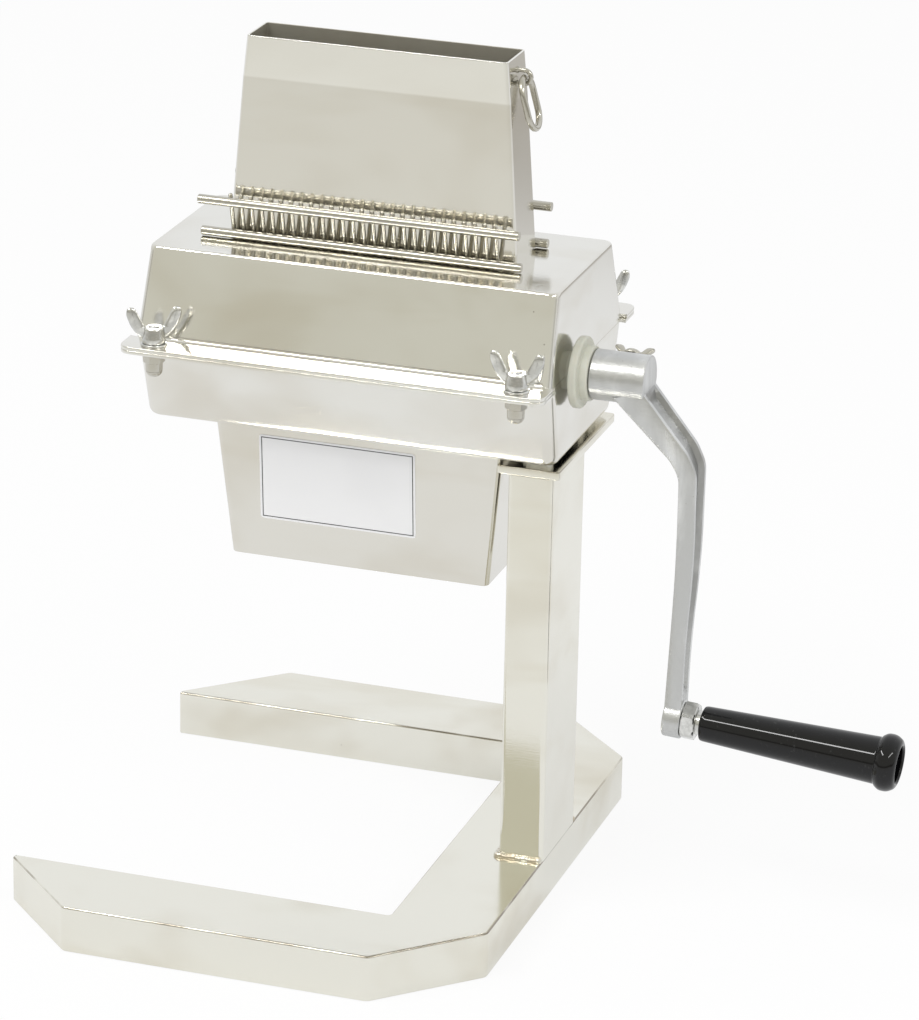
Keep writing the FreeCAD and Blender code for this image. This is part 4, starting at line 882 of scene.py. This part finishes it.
def hexagon(shape, flats, low, high, start, along, turn, bore=0.0):
    """Hexagon nut: radius min(a / cos((angle mod 60) - 30), chamfer at d), a being half the width over flats.
    With a bore it is open, and otherwise closed by its two faces."""
    sides = 72
    a = np.linspace(0, TURN, sides, endpoint=False)
    wall = flats / 2 / np.cos(np.mod(a, math.pi / 3) - math.pi / 6)
    corner = flats / math.sqrt(3)
    chamfer = (corner - flats / 2 * 0.98) * 0.55
    face = flats / 2 * 0.97
    limit = np.array([bore or flats * 0.1, face, face + (corner - face) * 0.6, corner + 1])
    rise = np.array([0, 0, chamfer * 0.5, chamfer])
    d = np.r_[low + rise, high - rise[::-1]]
    r = np.minimum(wall[None], np.r_[limit, limit[::-1]][:, None])
    x, y, z = frame_of(along)
    points = np.asarray(start, float) + d[:, None, None] * z + r[..., None] * spokes(x, y, sides, turn)
    return shape.grid(points, caps=not bore, wrap_rows=bool(bore))


def make_fasteners():
    studs, washers, caps = Shape(), Shape(), Shape()
    stud = [(283.5, 0), (283.5, 2.95), (306.5, 2.95), (307.4, 2.1), (307.7, 0)]
    washer = [(0, 3.1), (0, 7.0), (1.15, 7.0), (1.15, 3.1)]
    dome = [(-13.2, 0), (-13.2, 2.4), (-11.4, 4.3), (-8.8, 4.6), (-5.2, 4.6), (-5.2, 0)]
    up = (0, 0, 1)
    for sx in (-1, 1):
        for sy in (-1, 1):
            x, y = HOUSE_X + sx * STUD_X, HOUSE_Y + sy * STUD_Y
            over, below = (x, y, SHAFT_Z + FLANGE), (x, y, SHAFT_Z - FLANGE)
            studs.lathe(stud, (x, y, 0), up, 24, [0, 0.1, 0.8, 0.6, 0], 3)
            washers.lathe(washer, over, up, 40, [0.1, 0.3, 0.5, 0.1], 3, bore=True)
            hexagon(caps, flats=10.0, low=-5.6, high=0.0, start=below, along=up, turn=0.3 + sx * 0.4 + sy)
            caps.lathe(dome, below, up, 32, [0, 2.0, 1.6, 2.0, 0.1, 0], 4)
    studs.piece("stud_ends", "base", "zinc_steel", ["zinc_steel"], 50, ["studs"])
    washers.piece("plain_washers", "base", "zinc_steel", ["zinc_steel"], 50, ["washers"])
    caps.piece("domed_nuts", "base", "brushed_steel", ["wire"], 28, ["cap_nuts"])
    for corner, sx, sy, turn in (("front_left", -1, -1, 28.0), ("front_right", 1, -1, 2.0),
                                 ("back_left", -1, 1, 75.0), ("back_right", 1, 1, 15.0)):
        make_wing_nut(corner, sx, sy, turn)


# Bushing and crank

def make_bushing():
    """Turned nylon: neck in the wall, large flange and smaller step."""
    wall, bore, neck, inner, flange, step = 14.0, 5.56, 9.95, 14.0, 18.9, 14.5
    profile = [(-5.2, bore), (-5.2, inner), (-2.7, inner), (-2.7, neck), (3.2, neck),
               (3.2, flange), (7.8, flange), (7.8, step), (12.4, step), (12.4, bore)]
    bends = [0.2, 0.4, 0.4, 0.2, 0.3, 1.3, 1.5, 0.4, 1.1, 0.3]
    bush = Shape().lathe(profile, (wall, DRIVE_Y, SHAFT_Z), (1, 0, 0), 72, bends, 5, bore=True)
    bush.piece("nylon_bushing", "base", "white_nylon", ["white_nylon"], 50, ["crank_bushing"])


def arm_path():
    """Outer and inner line of the arm in XZ, each as the same number of evenly spaced points."""
    count, knee_z, out = 120, SHAFT_Z - 39.0, ARM_OUT_X
    waist_z, low_z, end_z = SHAFT_Z - 96.0, SHAFT_Z - 140.0, SHAFT_Z - CRANK_LENGTH + 6.0
    outer = [(HUB_X + HUB_LENGTH - 1.0, SHAFT_Z - 3.5), (out - 5.0, knee_z + 5.0), (out, knee_z - 5.5),
             (out, waist_z), (out - 3.2, low_z), (out - 4.0, end_z)]
    inner = [(HUB_X + 13.0, SHAFT_Z - 8.0), (out - 14.0, knee_z + 0.5), (out - 9.0, knee_z - 8.0),
             (out - 9.2, waist_z), (out - 11.2, low_z), (out - 13.2, end_z)]
    rows = []
    for line in (outer, inner):
        smooth = softened(line, [0, 2.5, 4.5, 40.0, 30.0, 0], 8, False, 1.0)
        steps = np.r_[0, np.cumsum(np.linalg.norm(np.diff(smooth, axis=0), axis=1))]
        s = np.linspace(0, steps[-1], count)
        rows.append(np.stack([np.interp(s, steps, smooth[:, k]) for k in (0, 1)], 1))
    return rows


def make_arm():
    """Channel section carried down the arm: flat inner face, rounded sides, two rims and a sunk web outside.
    A section point lies at (1 - v) outer + v inner, and across at side (share half - inset)."""
    sizes = bpy.context.scene.tender_crank
    outer, inner = arm_path()
    n = len(outer)
    drop = np.clip((SHAFT_Z - outer[:, 1]) / CRANK_LENGTH, 0, 1)
    half = np.interp(drop, [0, 0.21, 0.35, 0.7, 1.0], [11.6, 11.0, 10.2, 8.2, 7.0])
    thick = np.linalg.norm(outer - inner, axis=1)
    open_now = np.interp(np.linspace(0, 1, n), [0, 0.01, 0.05, 0.91, 0.96, 1.0], [0, 0, 1, 1, 0, 0])
    depth = sizes.recess / MM * open_now / thick
    rim, web = sizes.rim / MM, sizes.rim / MM + 1.1
    side = np.repeat([-1, 1, -1], [6, 8, 2])
    inset = np.array([0, 0, 0, 0.5, rim, web, web, rim, 0.5, 0, 0, 0, 0.5, 0, 0, 0.5])
    share = np.r_[np.ones(13), 0.55, 0.55, 1.0]
    sunk = np.r_[np.zeros(5), 1, 1, np.zeros(9)]
    v = np.array([0.92, 0.5, 0.08, 0, 0, 0, 0, 0, 0, 0.08, 0.5, 0.92, 1, 1, 1, 1])
    across = side * (half[:, None] * share - inset)
    into = (v + sunk * depth[:, None])[..., None]
    xz = outer[:, None] * (1 - into) + inner[:, None] * into
    points = np.stack([xz[..., 0], DRIVE_Y + across, xz[..., 1]], -1)
    arm = Shape().grid(points[:, ::-1], caps=True)
    columns, recess_columns = len(v), (8, 9, 10)
    # Faces in the recess take the darker copy of the casting: painted shade.
    arm.skins = [int(k < (n - 1) * columns and k % columns in recess_columns) for k in range(len(arm.faces))]
    hub, boss = 13.2, 10.5
    profile = [(0, 0), (0, hub), (HUB_LENGTH, hub), (HUB_LENGTH, 0)]
    arm.lathe(profile, (HUB_X, DRIVE_Y, SHAFT_Z), (1, 0, 0), 72, [0, 0.9, 0.8, 0], 5)
    arm.lathe([(-9.6, 0), (-9.6, boss), (0, boss), (0, 0)], grip_root(), grip_way(), 48, [0, 1.0, 0.8, 0], 4)
    arm.piece("crank_casting", "crank", "cast_aluminium", ["cast_aluminium", "cast_recess"], 40,
              ["crank_arm"])


def grip_way():
    droop = math.radians(3.85)
    return np.array([math.cos(droop), 0.0, -math.sin(droop)])


def grip_root():
    return np.array([ARM_OUT_X - 4.0, DRIVE_Y, SHAFT_Z - CRANK_LENGTH])


def make_grip():
    way, root = grip_way(), grip_root()
    bulb = bpy.context.scene.tender_crank.bulb / MM / 2
    start, end = 10.3, 117.3
    profile = [(start, 4.1), (start, 8.9), (start + 1.6, 9.4), (end - 11.6, 12.6), (end - 11.0, bulb - 1.6),
               (end - 8.6, bulb), (end - 4.2, bulb), (end - 0.8, bulb - 2.2), (end, 10.8), (end - 0.8, 9.6),
               (end - 11.0, 9.4), (end - 11.0, 4.1)]
    bends = [0.2, 1.0, 3.0, 0.9, 1.4, 2.4, 2.4, 2.0, 0.9, 0.6, 0.4, 0.2]
    body = Shape().lathe(profile, root, way, 72, bends, 6, bore=True)
    body.piece("grip_moulding", "grip_body", "black_grip", ["black_grip"], 60, ["grip"])
    bolt = Shape()
    head, shank = end - 11.0 + 0.3, 4.0
    bolt.lathe([(5.0, 0), (5.0, shank), (7.4, shank), (7.4, 6.5), (10.0, 6.5), (10.0, shank), (head, shank),
                (head, 6.4), (head + 4.5, 5.6), (head + 4.5, 0)], root, way, 32,
               [0, 0, 0, 0.4, 0.4, 0, 0, 0.4, 0.9, 0], 3)
    bolt.piece("grip_spindle", "crank", "zinc_steel", ["zinc_steel"], 50, ["grip_bolt"])
    nut = hexagon(Shape(), flats=18.5, low=0.05, high=7.4, start=root, along=way, turn=math.radians(30),
                  bore=shank)
    nut.piece("grip_locknut", "crank", "zinc_steel", ["zinc_steel"], 28, ["grip_nut"])


def make_thumb_screw():
    """Wing screw in the hub, its axis tilted up to the back."""
    tilt, seat, shank = math.radians(32.0), 13.5, 2.9
    screw = Shape()
    profile = [(8.0, 0), (8.0, shank), (seat, shank), (seat, 5.5), (seat + 3.0, 4.6), (seat + 3.4, 0)]
    screw.lathe(profile, (0, 0, 0), (0, 0, 1), 32, [0, 0.2, 0, 0.6, 1.0, 0], 3)
    for side in (-1, 1):
        wing(screw, side, root=4.2, low=0.6, span=22.0, high=7.6, thick=2.4, seat=seat)
    place = Matrix.Translation((HUB_X + HUB_LENGTH * 0.55, DRIVE_Y, SHAFT_Z))
    screw.moved(place @ Matrix.Rotation(tilt - math.pi / 2, 4, "X"))
    screw.piece("hub_thumb_screw", "thumb", "brushed_steel", ["wire"], 50, ["thumb_screw"])


def make_rollers():
    dress(["drive_blades", "driven_blades"], "blades")
    dress(["drive_shaft", "driven_shaft", "drive_spacers", "driven_spacers", "drive_gear_pin",
           "driven_gear_pin"], "wire")
    dress(["drive_gear", "driven_gear", "bearing_plate_left", "bearing_plate_right"], "white_nylon")


# Stage

# Colours that only mirrors see in the floor and the world: painted reflections, darker to the front.
FRONT_GLOW = (0.70, 0.69, 0.61, 1.0)
BACK_GLOW = (0.93, 0.94, 0.95, 1.0)


def floor_material():
    """Plain diffuse floor; the camera sees it mostly plain white, and mirrors see it darker to the front."""
    colours = bpy.context.scene.tender_colours
    material = bpy.data.materials.new("studio floor")
    material.use_nodes = True
    n = Nodes(material.node_tree)
    n.tree.nodes.clear()
    depth = n.part(n.node("ShaderNodeTexCoord", {}, {}, "Object"), "Y")
    seen, camera = n.seen()
    mirrored = n.mix(depth.step(-1.2, 0.1), FRONT_GLOW, BACK_GLOW)
    # Painted reflection: mirrors see the floor far to the back as dark brown.
    mirrored = n.mix(depth.step(0.95, 1.6) * 0.9, mirrored, (0.30, 0.265, 0.21))
    shown = n.mix(camera, mirrored, (1.0, 1.0, 1.0))
    glow = n.node("ShaderNodeEmission", {}, {"Color": shown, "Strength": 1.0})
    plain = n.node("ShaderNodeBsdfDiffuse", {}, {"Color": tuple(colours.floor) + (1.0,)})
    both = n.node("ShaderNodeMixShader", {}, {0: seen * 0.6 + camera * 0.29, 1: plain, 2: glow})
    n.node("ShaderNodeOutputMaterial", {}, {"Surface": both}, None)
    return material


def make_world():
    """White to the camera; in mirrors a bright back, a warm grey front and a darker strip low at the front.
    It lights the scene with even white."""
    world = bpy.data.worlds.new("studio")
    bpy.context.scene.world = world
    world.use_nodes = True
    n = Nodes(world.node_tree)
    n.tree.nodes.clear()
    way = n.node("ShaderNodeTexCoord", {}, {}, "Generated")
    depth, height = n.part(way, "Y"), n.part(way, "Z")
    seen, camera = n.seen()
    sides = n.mix(depth.step(-0.7, 0.75), FRONT_GLOW, BACK_GLOW)
    strip = height.step(0.16, 0.04) * depth.step(0.2, -0.3)
    mirrored = n.mix(strip * 0.75, sides, (0.16, 0.14, 0.11))
    shown = n.mix(camera, mirrored, (1.0, 1.0, 1.0))
    light = n.node("ShaderNodeBackground", {}, {"Color": (1.0, 1.0, 1.0, 1.0), "Strength": 0.72})
    view = n.node("ShaderNodeBackground", {}, {"Color": shown, "Strength": 1.0})
    both = n.node("ShaderNodeMixShader", {}, {0: seen, 1: light, 2: view})
    n.node("ShaderNodeOutputWorld", {}, {"Surface": both}, None)


def make_lamp(name, place, size, power):
    light = bpy.data.lights.new(name, "AREA")
    light.shape = "RECTANGLE"
    light.size, light.size_y = size
    light.energy = power
    lamp = linked(name, light)
    lamp.location = place
    aim = Vector((-0.06, 0.0, 0.2)) - Vector(place)
    lamp.rotation_euler = aim.to_track_quat("-Z", "Y").to_euler()


def make_camera():
    """View of the photograph: long lens, slightly above, from the front and a little to the right."""
    azimuth, elevation, roll = math.radians(AZIMUTH), math.radians(ELEVATION), math.radians(ROLL)
    level = math.cos(elevation)
    back = Vector((math.sin(azimuth) * level, -math.cos(azimuth) * level, math.sin(elevation)))
    place = Vector(TARGET) + back * DISTANCE
    swing = Matrix.Rotation(math.radians(SWING), 3, "Z")
    place, back = swing @ place, swing @ back
    data = bpy.data.cameras.new("view")
    data.sensor_fit = "HORIZONTAL"
    wide, high = PICTURE
    data.sensor_width = 36.0
    data.lens = FOCAL_PIXELS / wide * data.sensor_width
    data.shift_x = -(PICTURE_MIDDLE[0] - wide / 2) / wide
    data.shift_y = (PICTURE_MIDDLE[1] - high / 2) / wide
    data.clip_end = 50.0
    camera = linked("view", data)
    right = (-back).cross(Vector((0, 0, 1))).normalized()
    up = right.cross(-back)
    turned_right = right * math.cos(roll) + up * math.sin(roll)
    turned_up = up * math.cos(roll) - right * math.sin(roll)
    rotation = Matrix((turned_right, turned_up, back)).transposed()
    camera.matrix_world = Matrix.Translation(place) @ rotation.to_4x4()
    bpy.context.scene.camera = camera


def make_stage():
    mesh = bpy.data.meshes.new("floor")
    size = 6.0
    corners = [(-size, -size, 0), (size, -size, 0), (size, size, 0), (-size, size, 0)]
    mesh.from_pydata(corners, [], [(0, 1, 2, 3)])
    mesh.materials.append(floor_material())
    floor = linked("floor", mesh)
    make_world()
    make_lamp("key", (-1.1, -1.3, 2.4), (2.2, 0.24), 30.0)
    make_lamp("side", (2.0, -1.2, 2.0), (1.8, 0.22), 14.0)
    make_camera()
    bpy.context.scene.view_settings.view_transform = "Standard"


# Operators

class TENDER_OT_stand(bpy.types.Operator):
    """Foot, post, weld and saddle plate"""
    bl_idname = "tender.stand"
    bl_label = "Stand"

    def execute(self, context):
        make_stand()
        return {"FINISHED"}


class TENDER_OT_housing(bpy.types.Operator):
    """Housing body and cover with their flange lips"""
    bl_idname = "tender.housing"
    bl_label = "Housing"

    def execute(self, context):
        make_body()
        make_cover()
        return {"FINISHED"}


class TENDER_OT_chutes(bpy.types.Operator):
    """Feed chute, discharge chute and bare type plate"""
    bl_idname = "tender.chutes"
    bl_label = "Chutes"

    def execute(self, context):
        make_chutes()
        return {"FINISHED"}


class TENDER_OT_ring(bpy.types.Operator):
    """Pull ring and its eye"""
    bl_idname = "tender.ring"
    bl_label = "Pull ring"

    def execute(self, context):
        make_ring()
        return {"FINISHED"}


class TENDER_OT_combs(bpy.types.Operator):
    """Front and rear comb"""
    bl_idname = "tender.combs"
    bl_label = "Combs"

    def execute(self, context):
        make_comb(-1, TINE_PITCH / 4, "comb_wires.front", "comb_front", "front_comb")
        make_comb(1, -TINE_PITCH / 4, "comb_wires.rear", "comb_rear", "rear_comb")
        return {"FINISHED"}


class TENDER_OT_fasteners(bpy.types.Operator):
    """Studs, washers, domed nuts and wing nuts"""
    bl_idname = "tender.fasteners"
    bl_label = "Fasteners"

    def execute(self, context):
        make_fasteners()
        return {"FINISHED"}


class TENDER_OT_rollers(bpy.types.Operator):
    """Blades, shafts, gears and bearing plates"""
    bl_idname = "tender.rollers"
    bl_label = "Rollers"

    def execute(self, context):
        make_rollers()
        return {"FINISHED"}


class TENDER_OT_crank(bpy.types.Operator):
    """Bushing, crank casting and thumb screw"""
    bl_idname = "tender.crank"
    bl_label = "Crank"

    def execute(self, context):
        make_bushing()
        make_arm()
        make_thumb_screw()
        return {"FINISHED"}


class TENDER_OT_grip(bpy.types.Operator):
    """Grip with its spindle and locknut"""
    bl_idname = "tender.grip"
    bl_label = "Grip"

    def execute(self, context):
        make_grip()
        return {"FINISHED"}


class TENDER_OT_stage(bpy.types.Operator):
    """Floor, light and view"""
    bl_idname = "tender.stage"
    bl_label = "Stage"

    def execute(self, context):
        make_stage()
        return {"FINISHED"}


OPERATORS = [TENDER_OT_stand, TENDER_OT_housing, TENDER_OT_chutes, TENDER_OT_ring, TENDER_OT_combs,
             TENDER_OT_fasteners, TENDER_OT_rollers, TENDER_OT_crank, TENDER_OT_grip, TENDER_OT_stage]


class TENDER_PT_panel(bpy.types.Panel):
    """Sizes, colours and the pieces to make"""
    bl_idname = "TENDER_PT_panel"
    bl_label = "Meat Tenderizer"
    bl_space_type = "VIEW_3D"
    bl_region_type = "UI"
    bl_category = "Tenderizer"

    def draw(self, context):
        for group in (context.scene.tender_sheet, context.scene.tender_crank, context.scene.tender_colours,
                      context.scene.tender_wear):
            for name in group.bl_rna.properties.keys():
                if name not in ("rna_type", "name"):
                    self.layout.prop(group, name)
        for operator in OPERATORS:
            self.layout.operator(operator.bl_idname)


GROUPS = {"tender_sheet": SheetSizes, "tender_crank": CrankSizes, "tender_colours": FinishColours,
          "tender_wear": WearAmounts}


def register():
    for group in GROUPS.values():
        bpy.utils.register_class(group)
    for name, group in GROUPS.items():
        setattr(bpy.types.Scene, name, PointerProperty(type=group))
    for operator in OPERATORS:
        bpy.utils.register_class(operator)
    bpy.utils.register_class(TENDER_PT_panel)


def unregister():
    bpy.utils.unregister_class(TENDER_PT_panel)
    for operator in reversed(OPERATORS):
        bpy.utils.unregister_class(operator)
    for name in GROUPS:
        delattr(bpy.types.Scene, name)
    for group in reversed(list(GROUPS.values())):
        bpy.utils.unregister_class(group)


def main():
    register()
    for operator in OPERATORS:
        family, name = operator.bl_idname.split(".")
        getattr(getattr(bpy.ops, family), name)()


if __name__ == "__main__":
    main()
